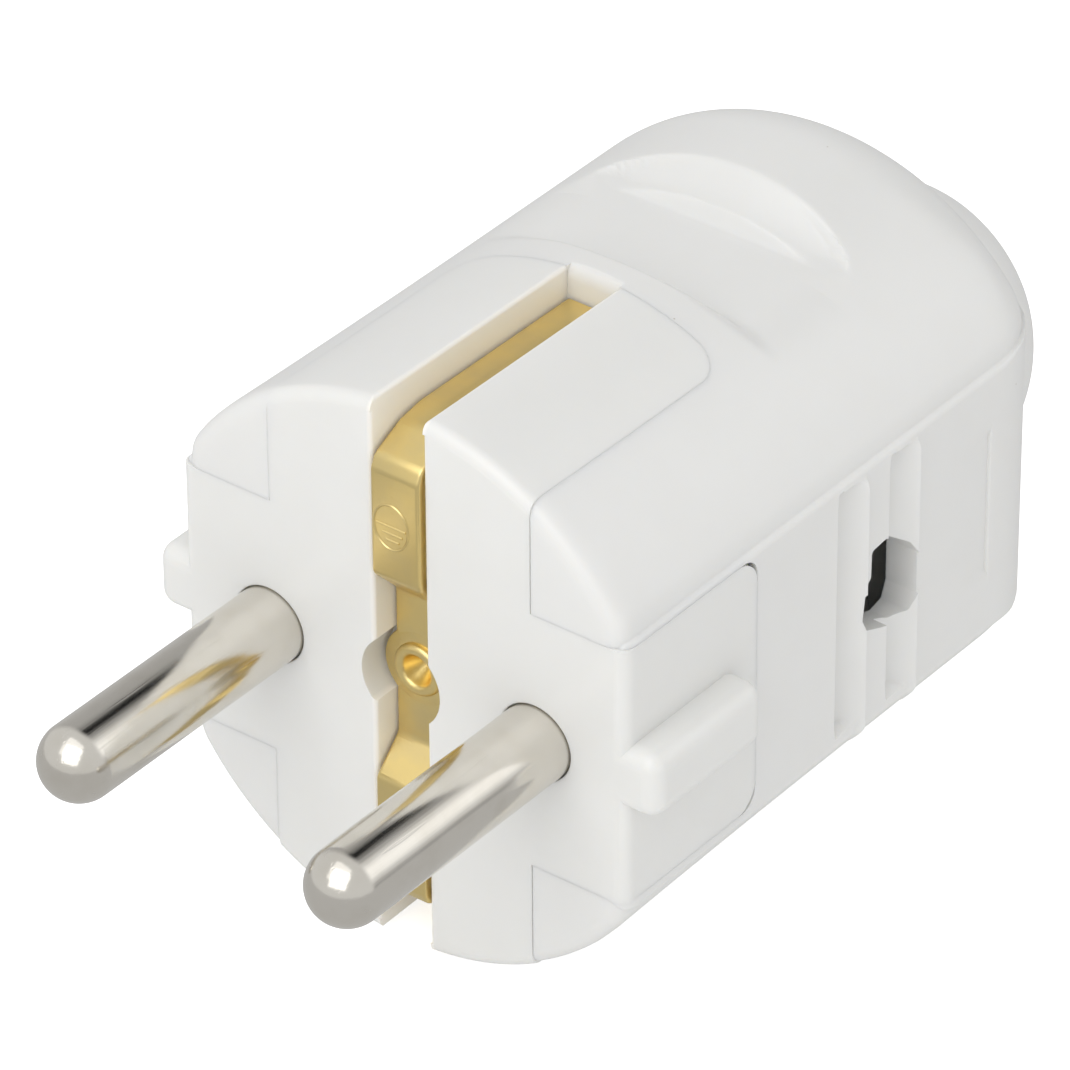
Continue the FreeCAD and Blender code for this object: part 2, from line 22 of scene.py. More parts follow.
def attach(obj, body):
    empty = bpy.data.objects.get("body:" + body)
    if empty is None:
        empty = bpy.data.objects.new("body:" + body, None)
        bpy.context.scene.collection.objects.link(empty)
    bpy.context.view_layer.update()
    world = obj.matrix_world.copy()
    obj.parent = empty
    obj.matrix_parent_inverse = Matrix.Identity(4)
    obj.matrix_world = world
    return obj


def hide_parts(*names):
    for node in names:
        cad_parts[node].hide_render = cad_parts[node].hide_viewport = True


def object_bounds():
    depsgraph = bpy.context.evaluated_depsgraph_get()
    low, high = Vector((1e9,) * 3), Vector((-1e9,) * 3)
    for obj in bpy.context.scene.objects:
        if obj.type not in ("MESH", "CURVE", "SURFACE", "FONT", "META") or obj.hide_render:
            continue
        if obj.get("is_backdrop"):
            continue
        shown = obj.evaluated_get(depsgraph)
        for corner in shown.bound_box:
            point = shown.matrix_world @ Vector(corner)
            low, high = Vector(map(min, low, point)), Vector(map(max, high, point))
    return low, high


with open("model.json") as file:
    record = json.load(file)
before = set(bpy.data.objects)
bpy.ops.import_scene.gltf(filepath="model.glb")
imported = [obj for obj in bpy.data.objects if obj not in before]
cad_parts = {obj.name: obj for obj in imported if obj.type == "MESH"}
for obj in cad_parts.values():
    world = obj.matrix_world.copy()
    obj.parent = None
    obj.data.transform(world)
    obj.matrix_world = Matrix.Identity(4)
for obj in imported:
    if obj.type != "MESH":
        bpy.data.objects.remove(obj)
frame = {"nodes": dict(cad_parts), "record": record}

Array = np.ndarray
Pair = tuple[float, float]
Point = tuple[float, float, float]
Colour = tuple[float, float, float]
Outline = list[Pair]
Value = Union[NodeSocket, float]

MM = 0.001
FAR = 25.0  # reach of a long cutter, past the outside of the plug
PANE = 1.5 * MM * MM  # area from which a face counts as a plane of its own
WHITE = (1.0, 1.0, 1.0, 1.0)
LOG = logging.getLogger("plug")


class Slot(Enum):
    """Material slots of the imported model."""

    HOOD = "hood_plastic"
    CARRIER = "carrier_plastic"
    NICKEL = "nickel"
    BRASS = "brass"
    SCREW = "screw_steel"
    PLATE = "plate_plastic"


# Fields and outlines


def smooth_max(a: Array, b: Array, width: Union[Array, float]) -> Array:
    """Larger of two fields, with the edge between them rounded.

    Args:
        a: First field.
        b: Second field.
        width: Stretch of values over which the two blend.

    Returns:
        The blended field.
    """
    lead = np.clip(0.5 + 0.5 * (a - b) / width, 0.0, 1.0)
    return b + (a - b) * lead + width * lead * (1.0 - lead)


def smooth_min(a: Array, b: Array, width: Union[Array, float]) -> Array:
    """Smaller of two fields, with the crease between them rounded."""
    return -smooth_max(-a, -b, width)


def rounded_corner(u: Array, v: Array, radius: float) -> Array:
    """Distance to a quarter space whose corner is rounded.

    Args:
        u: Distance past the first side.
        v: Distance past the second side.
        radius: Radius of the corner between them.

    Returns:
        Signed distance, negative inside.
    """
    p = u + radius
    q = v + radius
    outside = np.hypot(np.maximum(p, 0.0), np.maximum(q, 0.0))
    return outside + np.minimum(np.maximum(p, q), 0.0) - radius


def spread(low: float, high: float, count: int, peaks: list[Point]) -> Array:
    """Steps from low to high, closer together round the peaks.

    Args:
        low: First value.
        high: Last value.
        count: Number of values.
        peaks: Place, width and weight of each denser stretch.

    Returns:
        The values in rising order.
    """
    fine = np.linspace(low, high, 6000)
    density = np.ones_like(fine)
    for place, width, weight in peaks:
        density += weight * np.exp(-(((fine - place) / width) ** 2))
    total = np.concatenate([[0.0], np.cumsum((density[1:] + density[:-1]) / 2)])
    return np.interp(np.linspace(0.0, total[-1], count), total, fine)


def rectangle(low: Pair, high: Pair) -> Outline:
    """Corners of a rectangle, in order round it."""
    return [low, (high[0], low[1]), high, (low[0], high[1])]


def quarter_round(radius: float, steps: int) -> Outline:
    """Inset and depth of the points of a rounded edge, from its front to its side."""
    turns = [math.pi / 2 * i / steps for i in range(steps + 1)]
    return [(radius * (1 - math.sin(turn)), radius * (1 - math.cos(turn))) for turn in turns]


def rounded_outline(points: Outline, radius: float, steps: int = 8) -> Outline:
    """Closed outline with every corner rounded by the same radius.

    Args:
        points: Corners of the outline.
        radius: Radius of the corners.
        steps: Steps round each corner.

    Returns:
        The points of the rounded outline.
    """
    result: Outline = []
    count = len(points)
    for i, corner in enumerate(points):
        here = Vector(corner)
        a = (Vector(points[i - 1]) - here).normalized()
        b = (Vector(points[(i + 1) % count]) - here).normalized()
        half = a.angle(b) / 2
        centre = here + (a + b).normalized() * (radius / math.sin(half))
        start = here + a * (radius / math.tan(half)) - centre
        side = -1.0 if start.x * (b - a).y - start.y * (b - a).x < 0 else 1.0
        for k in range(steps + 1):
            angle = side * (math.pi - 2 * half) * k / steps
            swung = Vector((start.x * math.cos(angle) - start.y * math.sin(angle),
                            start.x * math.sin(angle) + start.y * math.cos(angle)))
            result.append(tuple(centre + swung))
    return result


# Mesh helpers


def new_object(name: str, mesh: Mesh) -> Object:
    """Object at the origin that shows the mesh.

    Args:
        name: Name of the object.
        mesh: What it shows.

    Returns:
        The object, linked to the scene.
    """
    made = bpy.data.objects.new(name, mesh)
    bpy.context.scene.collection.objects.link(made)
    return made


def mesh_from(name: str, points: Array, faces: list[tuple[int, ...]]) -> Mesh:
    """Mesh in metres from points in millimetres.

    Args:
        name: Name of the mesh.
        points: Corners in millimetres.
        faces: Corner numbers of each face.

    Returns:
        The mesh.
    """
    mesh = bpy.data.meshes.new(name)
    mesh.from_pydata((np.asarray(points) * MM).tolist(), [], faces)
    mesh.validate()
    return mesh


def shade(mesh: Mesh, angle: float) -> None:
    """Smooth shading that stops at edges sharper than the angle, in degrees."""
    mesh.shade_smooth()
    mesh.set_sharp_from_angle(angle=math.radians(angle))


def shade_panes(piece: Object, angle: float) -> None:
    """Smooth shading on the small faces, while each large face stays plane.

    Args:
        piece: The object to shade.
        angle: Edges sharper than this many degrees stay sharp.
    """
    shade(piece.data, angle)
    for polygon in piece.data.polygons:
        if polygon.area > PANE:
            polygon.use_smooth = False


def evaluated_copy(thing: Object, name: str) -> Mesh:
    """Plain mesh of an object with its modifiers worked in.

    Args:
        thing: The object.
        name: Name of the new mesh.

    Returns:
        The new mesh.
    """
    bpy.context.view_layer.update()
    graph = bpy.context.evaluated_depsgraph_get()
    mesh = bpy.data.meshes.new_from_object(thing.evaluated_get(graph))
    mesh.name = name
    return mesh


def settle(thing: Object) -> None:
    """Works an object's modifiers into its mesh and removes them.

    Args:
        thing: The object to change.
    """
    mesh = evaluated_copy(thing, thing.data.name)
    thing.modifiers.clear()
    thing.data = mesh


def carve(target: Object, cutters: list[Object], how: str = "DIFFERENCE") -> None:
    """Works solid cuts or joins into a mesh and removes the cutters.

    Args:
        target: The object whose mesh changes.
        cutters: Closed solids.
        how: Name of the boolean operation.
    """
    for cutter in cutters:
        step = target.modifiers.new("solid", "BOOLEAN")
        step.operation = how
        step.solver = "EXACT"
        step.object = cutter
        settle(target)
        bpy.data.objects.remove(cutter)


def bevel(thing: Object, width: float, segments: int) -> None:
    """Rounds every edge of a block.

    Args:
        thing: The block.
        width: Width of the rounding.
        segments: Steps across it.
    """
    step = thing.modifiers.new("round", "BEVEL")
    step.width, step.segments, step.limit_method = width * MM, segments, "NONE"
    settle(thing)


def outwards(mesh: Mesh) -> None:
    """Merges doubles and turns all faces outwards.

    Args:
        mesh: The mesh to change.
    """
    work = bmesh.new()
    work.from_mesh(mesh)
    bmesh.ops.remove_doubles(work, verts=work.verts, dist=1e-7)
    bmesh.ops.recalc_face_normals(work, faces=work.faces)
    work.to_mesh(mesh)
    work.free()


def stitched(rings: list[list[int]]) -> list[tuple[int, ...]]:
    """Faces between neighbouring closed rings, with fans at single points.

    Args:
        rings: Corner numbers of each ring.

    Returns:
        The faces.
    """
    faces: list[tuple[int, ...]] = []
    for a, b in zip(rings[:-1], rings[1:]):
        count = max(len(a), len(b))
        for i in range(count):
            j = (i + 1) % count
            if len(a) == 1:
                faces.append((a[0], b[j], b[i]))
            elif len(b) == 1:
                faces.append((a[i], a[j], b[0]))
            else:
                faces.append((a[i], a[j], b[j], b[i]))
    return faces


def circle(radius: float, y: float, sides: int, centre: Pair = (0.0, 0.0)) -> list[Point]:
    """Points round an axis parallel to Y."""
    turns = [2 * math.pi * i / sides for i in range(sides)]
    return [(centre[0] + radius * math.cos(turn), y, centre[1] + radius * math.sin(turn)) for turn in turns]


def turned(name: str, profile: Outline, sides: int, centre: Pair = (0.0, 0.0)) -> Mesh:
    """Solid turned about an axis parallel to Y.

    Args:
        name: Name of the mesh.
        profile: Radius and Y of each ring, the first and last usually on the axis.
        sides: Points round each ring.
        centre: X and Z of the axis.

    Returns:
        The closed mesh.
    """
    points: list[Point] = []
    rings: list[list[int]] = []
    for radius, y in profile:
        ring = circle(radius, y, sides, centre) if radius > 1e-6 else [(centre[0], y, centre[1])]
        rings.append(list(range(len(points), len(points) + len(ring))))
        points += ring
    mesh = mesh_from(name, np.array(points), stitched(rings))
    outwards(mesh)
    return mesh


def turned_tube(name: str, section: Outline, sides: int) -> Mesh:
    """Tube turned about the Y axis, from a closed section.

    Args:
        name: Name of the mesh.
        section: Radius and Y of each corner of the wall.
        sides: Points round each ring.

    Returns:
        The closed mesh.
    """
    points = [spot for radius, y in section for spot in circle(radius, y, sides)]
    rings = [list(range(k * sides, (k + 1) * sides)) for k in range(len(section))]
    mesh = mesh_from(name, np.array(points), stitched(rings + [rings[0]]))
    outwards(mesh)
    return mesh


def bar(name: str, corner: Point, opposite: Point) -> Object:
    """Plain block used as a cutter or as a start.

    Args:
        name: Name of the object.
        corner: One corner.
        opposite: The corner across from it.

    Returns:
        The closed solid.
    """
    spans = [sorted(pair) for pair in zip(corner, opposite)]
    corners = [(x, y, z) for x in spans[0] for y in spans[1] for z in spans[2]]
    faces = [(0, 1, 3, 2), (4, 6, 7, 5), (0, 4, 5, 1), (2, 3, 7, 6), (0, 2, 6, 4), (1, 5, 7, 3)]
    mesh = mesh_from(name, np.array(corners), faces)
    outwards(mesh)
    return new_object(name, mesh)


def extruded(name: str, outline: Outline, axis: int, low: float, high: float) -> Object:
    """Outline pushed along one axis.

    Args:
        name: Name of the object.
        outline: Points in the other two axes, in X, Y, Z order.
        axis: 0, 1 or 2.
        low: Start along the axis.
        high: End along the axis.

    Returns:
        The closed solid.
    """
    points = [(*spot[:axis], level, *spot[axis:]) for level in (low, high) for spot in outline]
    count = len(outline)
    faces: list[tuple[int, ...]] = [tuple(range(count)), tuple(range(2 * count - 1, count - 1, -1))]
    for i in range(count):
        j = (i + 1) % count
        faces.append((i, j, count + j, count + i))
    mesh = mesh_from(name, np.array(points), faces)
    outwards(mesh)
    return new_object(name, mesh)


# Solids given as fields


class FieldForm:
    """A solid given as a field that is negative inside."""

    def field(self, x: Array, y: Array, z: Array) -> Array:
        """Value of the field at each point."""
        raise NotImplementedError


@dataclass(frozen=True)
class RadialMesher:
    """Closed mesh of a solid that every ray from the plug's axis leaves once.

    Rings run round the Y axis, and the turns are the angles of the points on each ring.
    """

    turns: Array
    reach: float = 60.0
    halvings: int = 26

    def solve(self, inside: FieldForm, origins: Array, ways: Array) -> Array:
        """Distance from each origin to the surface.

        Args:
            inside: The solid.
            origins: Start of each ray.
            ways: Unit direction of each ray.

        Returns:
            Distance along each ray.
        """
        low = np.zeros(len(origins))
        high = np.full(len(origins), self.reach)
        for _ in range(self.halvings):
            middle = (low + high) / 2
            spots = origins + ways * middle[:, None]
            out = inside.field(spots[:, 0], spots[:, 1], spots[:, 2]) > 0
            high = np.where(out, middle, high)
            low = np.where(out, low, middle)
        return (low + high) / 2

    def mesh(self, name: str, inside: FieldForm, rays: list[Pair]) -> Mesh:
        """Mesh of the solid.

        Args:
            name: Name of the mesh.
            inside: The solid.
            rays: For each ring, the Y of its origin and its lean towards +Y in radians.

        Returns:
            The closed mesh, fans at both ends.
        """
        origins = []
        ways = []
        for y, lean in rays:
            flat, along = math.cos(lean), math.sin(lean)
            for turn in self.turns:
                origins.append((0.0, y, 0.0))
                ways.append((flat * math.cos(turn), along, flat * math.sin(turn)))
        start = np.array(origins)
        way = np.array(ways)
        ends = start + way * self.solve(inside, start, way)[:, None]
        poles_from = np.array([(0.0, rays[0][0], 0.0), (0.0, rays[-1][0], 0.0)])
        poles_way = np.array([(0.0, -1.0, 0.0), (0.0, 1.0, 0.0)])
        poles = poles_from + poles_way * self.solve(inside, poles_from, poles_way)[:, None]
        count = len(self.turns)
        rings = [[len(ends)]]
        rings += [list(range(i * count, (i + 1) * count)) for i in range(len(rays))]
        rings.append([len(ends) + 1])
        mesh = mesh_from(name, np.vstack([ends, poles]), stitched(rings))
        outwards(mesh)
        return mesh


# Shader nodes


def arithmetic(tree: NodeTree, how: str, a: Value, b: Value = 0.0) -> NodeSocket:
    """Result of a Math node.

    Args:
        tree: Tree that gets the node.
        how: Name of the operation.
        a: First socket or number.
        b: Second socket or number.

    Returns:
        The node's result.
    """
    node = tree.nodes.new("ShaderNodeMath")
    node.operation = how
    for slot, value in enumerate((a, b)):
        if isinstance(value, NodeSocket):
            tree.links.new(value, node.inputs[slot])
        else:
            node.inputs[slot].default_value = float(value)
    return node.outputs[0]


def noise(tree: NodeTree, vector: NodeSocket, scale: Value, detail: float) -> NodeSocket:
    """Factor of a Noise Texture node.

    Args:
        tree: Tree that gets the node.
        vector: Coordinates.
        scale: Scale, as a socket or number.
        detail: Number of finer layers.

    Returns:
        The factor.
    """
    node = tree.nodes.new("ShaderNodeTexNoise")
    tree.links.new(vector, node.inputs["Vector"])
    if isinstance(scale, NodeSocket):
        tree.links.new(scale, node.inputs["Scale"])
    else:
        node.inputs["Scale"].default_value = scale
    node.inputs["Detail"].default_value = detail
    return node.outputs["Fac"]


def ramped(tree: NodeTree, value: NodeSocket, low: float, high: float) -> NodeSocket:
    """Value stretched so that low gives 0 and high gives 1, clamped.

    Args:
        tree: Tree that gets the node.
        value: What is stretched.
        low: Value that gives 0.
        high: Value that gives 1.

    Returns:
        The stretched value.
    """
    node = tree.nodes.new("ShaderNodeMapRange")
    tree.links.new(value, node.inputs["Value"])
    node.inputs["From Min"].default_value = low
    node.inputs["From Max"].default_value = high
    return node.outputs["Result"]


def mixed(tree: NodeTree, share: NodeSocket, a: Union[NodeSocket, Colour], b: Colour) -> NodeSocket:
    """Colour mixed from two.

    Args:
        tree: Tree that gets the node.
        share: Share of the second colour.
        a: First colour or socket.
        b: Second colour.

    Returns:
        The mixed colour.
    """
    node = tree.nodes.new("ShaderNodeMix")
    node.data_type = "RGBA"
    factor, first, second = node.inputs[0], node.inputs[6], node.inputs[7]
    tree.links.new(share, factor)
    second.default_value = (*b, 1.0)
    if isinstance(a, NodeSocket):
        tree.links.new(a, first)
    else:
        first.default_value = (*a, 1.0)
    return node.outputs[2]


@dataclass
class ShaderShelf:
    """Shared shader groups, each built once."""

    made: dict[str, NodeTree] = field(default_factory=dict)

    def group(self, name: str, inputs: dict[str, float], outputs: list[str]) -> tuple[NodeTree, bool]:
        """The named group and whether it is new.

        Args:
            name: Name of the group.
            inputs: Name and default of each value input; "Vector" is added first.
            outputs: Names of the value outputs.

        Returns:
            The group, and True if it still needs its nodes.
        """
        if name in self.made:
            return self.made[name], False
        tree = bpy.data.node_groups.new(name, "ShaderNodeTree")
        tree.interface.new_socket("Vector", in_out="INPUT", socket_type="NodeSocketVector")
        for label, default in inputs.items():
            socket = tree.interface.new_socket(label, in_out="INPUT", socket_type="NodeSocketFloat")
            socket.default_value = default
        for label in outputs:
            tree.interface.new_socket(label, in_out="OUTPUT", socket_type="NodeSocketFloat")
        tree.nodes.new("NodeGroupInput").name = "in"
        tree.nodes.new("NodeGroupOutput").name = "out"
        self.made[name] = tree
        return tree, True

    def moulding(self) -> NodeTree:
        """Fine orange peel, slow waviness and rare specks of moulded plastic.

        Returns:
            The group.
        """
        tree, new = self.group("moulding", {"Grain": 9000.0, "Wave": 260.0, "Specks": 900.0},
                               ["Height", "Cloud", "Speck"])
        if not new:
            return tree
        nodes, links = tree.nodes, tree.links
        start, end = nodes["in"], nodes["out"]
        grain = noise(tree, start.outputs["Vector"], start.outputs["Grain"], 2.0)
        wave = noise(tree, start.outputs["Vector"], start.outputs["Wave"], 3.0)
        faint = arithmetic(tree, "MULTIPLY", grain, 0.12)
        links.new(arithmetic(tree, "ADD", faint, wave), end.inputs["Height"])
        links.new(wave, end.inputs["Cloud"])
        cells = nodes.new("ShaderNodeTexVoronoi")
        links.new(start.outputs["Vector"], cells.inputs["Vector"])
        links.new(start.outputs["Specks"], cells.inputs["Scale"])
        near = arithmetic(tree, "LESS_THAN", cells.outputs["Distance"], 0.055)
        pick = nodes.new("ShaderNodeSeparateColor")
        links.new(cells.outputs["Color"], pick.inputs[0])
        rare = arithmetic(tree, "GREATER_THAN", pick.outputs[0], 0.985)
        links.new(arithmetic(tree, "MULTIPLY", near, rare), end.inputs["Speck"])
        return tree

    def tool_marks(self) -> NodeTree:
        """Fine lines left by drawing, rolling or turning, with rare deeper scratches.

        Returns:
            The group.
        """
        tree, new = self.group("tool_marks", {"Across": 6000.0, "Along": 120.0, "Blotch": 400.0},
                               ["Lines", "Scratch", "Stain"])
        if not new:
            return tree
        nodes, links = tree.nodes, tree.links
        start, end = nodes["in"], nodes["out"]
        split = nodes.new("ShaderNodeSeparateXYZ")
        links.new(start.outputs["Vector"], split.inputs[0])
        join = nodes.new("ShaderNodeCombineXYZ")
        for axis, rate in (("X", "Across"), ("Y", "Along"), ("Z", "Across")):
            scaled = arithmetic(tree, "MULTIPLY", split.outputs[axis], start.outputs[rate])
            links.new(scaled, join.inputs[axis])
        lines = noise(tree, join.outputs[0], 1.0, 4.0)
        links.new(lines, end.inputs["Lines"])
        deep = noise(tree, join.outputs[0], 0.35, 2.0)
        links.new(ramped(tree, deep, 0.66, 0.72), end.inputs["Scratch"])
        stain = noise(tree, start.outputs["Vector"], start.outputs["Blotch"], 4.0)
        links.new(ramped(tree, stain, 0.42, 0.72), end.inputs["Stain"])
        return tree


# Finishes


@dataclass(frozen=True)
class Finish:
    """A surface finish that builds one material."""

    name: str
    colour: Colour
    roughness: float

    def start(self) -> tuple[Material, NodeTree, Node, NodeSocket]:
        """Fresh material with plain values.

        Returns:
            The material, its tree, its Principled node and its Object coordinates.
        """
        material = bpy.data.materials.new(self.name)
        material.use_nodes = True
        tree = material.node_tree
        shader = tree.nodes["Principled BSDF"]
        shader.inputs["Base Color"].default_value = (*self.colour, 1.0)
        shader.inputs["Roughness"].default_value = self.roughness
        place = tree.nodes.new("ShaderNodeTexCoord")
        return material, tree, shader, place.outputs["Object"]

    def build(self, shelf: ShaderShelf) -> Material:
        """The finished material."""
        raise NotImplementedError

    def placed(self, tree: NodeTree, group: NodeTree, vector: NodeSocket, **values: float) -> Node:
        """Group node in a material.

        Args:
            tree: The material's tree.
            group: The shared group.
            vector: Coordinates that the group gets.
            **values: Values of its other inputs.

        Returns:
            The group node.
        """
        node = tree.nodes.new("ShaderNodeGroup")
        node.node_tree = group
        tree.links.new(vector, node.inputs["Vector"])
        for label, value in values.items():
            node.inputs[label].default_value = value
        return node

    def bumped(self, tree: NodeTree, shader: Node, height: NodeSocket, depth: float) -> None:
        """Feeds a height into the shader's normal.

        Args:
            tree: The material's tree.
            shader: The Principled node.
            height: Height from 0 to 1.
            depth: Depth in metres that a height of 1 stands for.
        """
        bump = tree.nodes.new("ShaderNodeBump")
        bump.inputs["Distance"].default_value = depth
        tree.links.new(height, bump.inputs["Height"])
        tree.links.new(bump.outputs[0], shader.inputs["Normal"])


@dataclass(frozen=True)
class MouldedPlastic(Finish):
    """Half-gloss moulded thermoplastic that lets a little light in.

    A niche is a narrow slot in the middle of the part, given by its half width. Its walls get a
    paler, warmer base colour: painted light that stands in for the light the walls throw on each other.
    """

    warm: Colour = (0.72, 0.70, 0.66)
    warm_share: float = 0.10
    speck: Colour = (0.42, 0.37, 0.30)
    speck_share: float = 0.6
    uneven: float = 0.08
    index: float = 1.49
    coat: float = 0.15
    coat_roughness: float = 0.2
    depth: float = 0.3
    reach: float = 0.8
    scatter: Colour = (1.0, 0.9, 0.75)
    wave_depth: float = 0.000012
    niche: float = 0.0
    niche_mouth: Pair = (0.28, 0.02)  # past the half width, where the niche's painted light ends and is full
    niche_painted_light: Colour = (0.96, 0.93, 0.87)

    def build(self, shelf: ShaderShelf) -> Material:
        """Warm clouds, rare specks, fine grain and slow waviness.

        Args:
            shelf: Where the shared groups are kept.

        Returns:
            The material.
        """
        material, tree, shader, vector = self.start()
        marks = self.placed(tree, shelf.moulding(), vector)
        cloud = ramped(tree, marks.outputs["Cloud"], 0.35, 0.75)
        toned = mixed(tree, arithmetic(tree, "MULTIPLY", cloud, self.warm_share), self.colour, self.warm)
        specks = arithmetic(tree, "MULTIPLY", marks.outputs["Speck"], self.speck_share)
        toned = mixed(tree, specks, toned, self.speck)
        # Painted light: the niche's walls get a paler, warmer base colour for the light they throw on each
        # other.
        if self.niche > 0.0:
            toned = mixed(tree, self.inside_niche(tree, vector), toned, self.niche_painted_light)
        tree.links.new(toned, shader.inputs["Base Color"])
        rough = arithmetic(tree, "MULTIPLY", marks.outputs["Cloud"], self.uneven)
        rough = arithmetic(tree, "ADD", rough, self.roughness - self.uneven / 2)
        tree.links.new(rough, shader.inputs["Roughness"])
        shader.inputs["IOR"].default_value = self.index
        shader.inputs["Coat Weight"].default_value = self.coat
        shader.inputs["Coat Roughness"].default_value = self.coat_roughness
        shader.inputs["Subsurface Weight"].default_value = self.depth
        shader.inputs["Subsurface Radius"].default_value = self.scatter
        shader.inputs["Subsurface Scale"].default_value = self.reach * MM
        self.bumped(tree, shader, marks.outputs["Height"], self.wave_depth)
        return material

    def inside_niche(self, tree: NodeTree, vector: NodeSocket) -> NodeSocket:
        """Mask of the niche, where its painted light goes.

        Args:
            tree: The material's tree.
            vector: Object coordinates.

        Returns:
            The mask, 1 on the niche's walls and 0 past its rounded mouth.
        """
        split = tree.nodes.new("ShaderNodeSeparateXYZ")
        tree.links.new(vector, split.inputs[0])
        away = arithmetic(tree, "ABSOLUTE", split.outputs["X"])
        ends, full = ((self.niche + step) * MM for step in self.niche_mouth)
        return ramped(tree, away, ends, full)


@dataclass(frozen=True)
class Metal(Finish):
    """Metal with fine tool marks along Y."""

    dull: Colour = (0.5, 0.45, 0.35)
    across: float = 9000.0
    along: float = 260.0
    depth: float = 0.000004
    stain: float = 0.2
    lined: float = 0.10
    scratched: float = 0.12

    def build(self, shelf: ShaderShelf) -> Material:
        """Bright metal with fine lines, scratches and slightly dull blotches.

        Args:
            shelf: Where the shared groups are kept.

        Returns:
            The material.
        """
        material, tree, shader, vector = self.start()
        shader.inputs["Metallic"].default_value = 1.0
        marks = self.placed(tree, shelf.tool_marks(), vector, Across=self.across, Along=self.along)
        dulled = arithmetic(tree, "MULTIPLY", marks.outputs["Stain"], self.stain)
        tree.links.new(mixed(tree, dulled, self.colour, self.dull), shader.inputs["Base Color"])
        fine = arithmetic(tree, "MULTIPLY", marks.outputs["Lines"], self.lined)
        worn = arithmetic(tree, "MULTIPLY", marks.outputs["Scratch"], self.scratched)
        rough = arithmetic(tree, "ADD", arithmetic(tree, "ADD", fine, worn), self.roughness - self.lined / 2)
        tree.links.new(rough, shader.inputs["Roughness"])
        height = arithmetic(tree, "SUBTRACT", marks.outputs["Lines"], marks.outputs["Scratch"])
        self.bumped(tree, shader, height, self.depth)
        return material


@dataclass(frozen=True)
class FibreSheet(Finish):
    """Pressed brown insulating sheet."""

    fibre: Colour = (0.30, 0.18, 0.09)
    depth: float = 0.00002

    def build(self, shelf: ShaderShelf) -> Material:
        """Mottled fibres with a dry surface.

        Args:
            shelf: Where the shared groups are kept.

        Returns:
            The material.
        """
        material, tree, shader, vector = self.start()
        marks = self.placed(tree, shelf.tool_marks(), vector, Across=2500.0, Along=500.0)
        mottled = mixed(tree, marks.outputs["Lines"], self.colour, self.fibre)
        tree.links.new(mottled, shader.inputs["Base Color"])
        self.bumped(tree, shader, marks.outputs["Lines"], self.depth)
        return material


# Hood


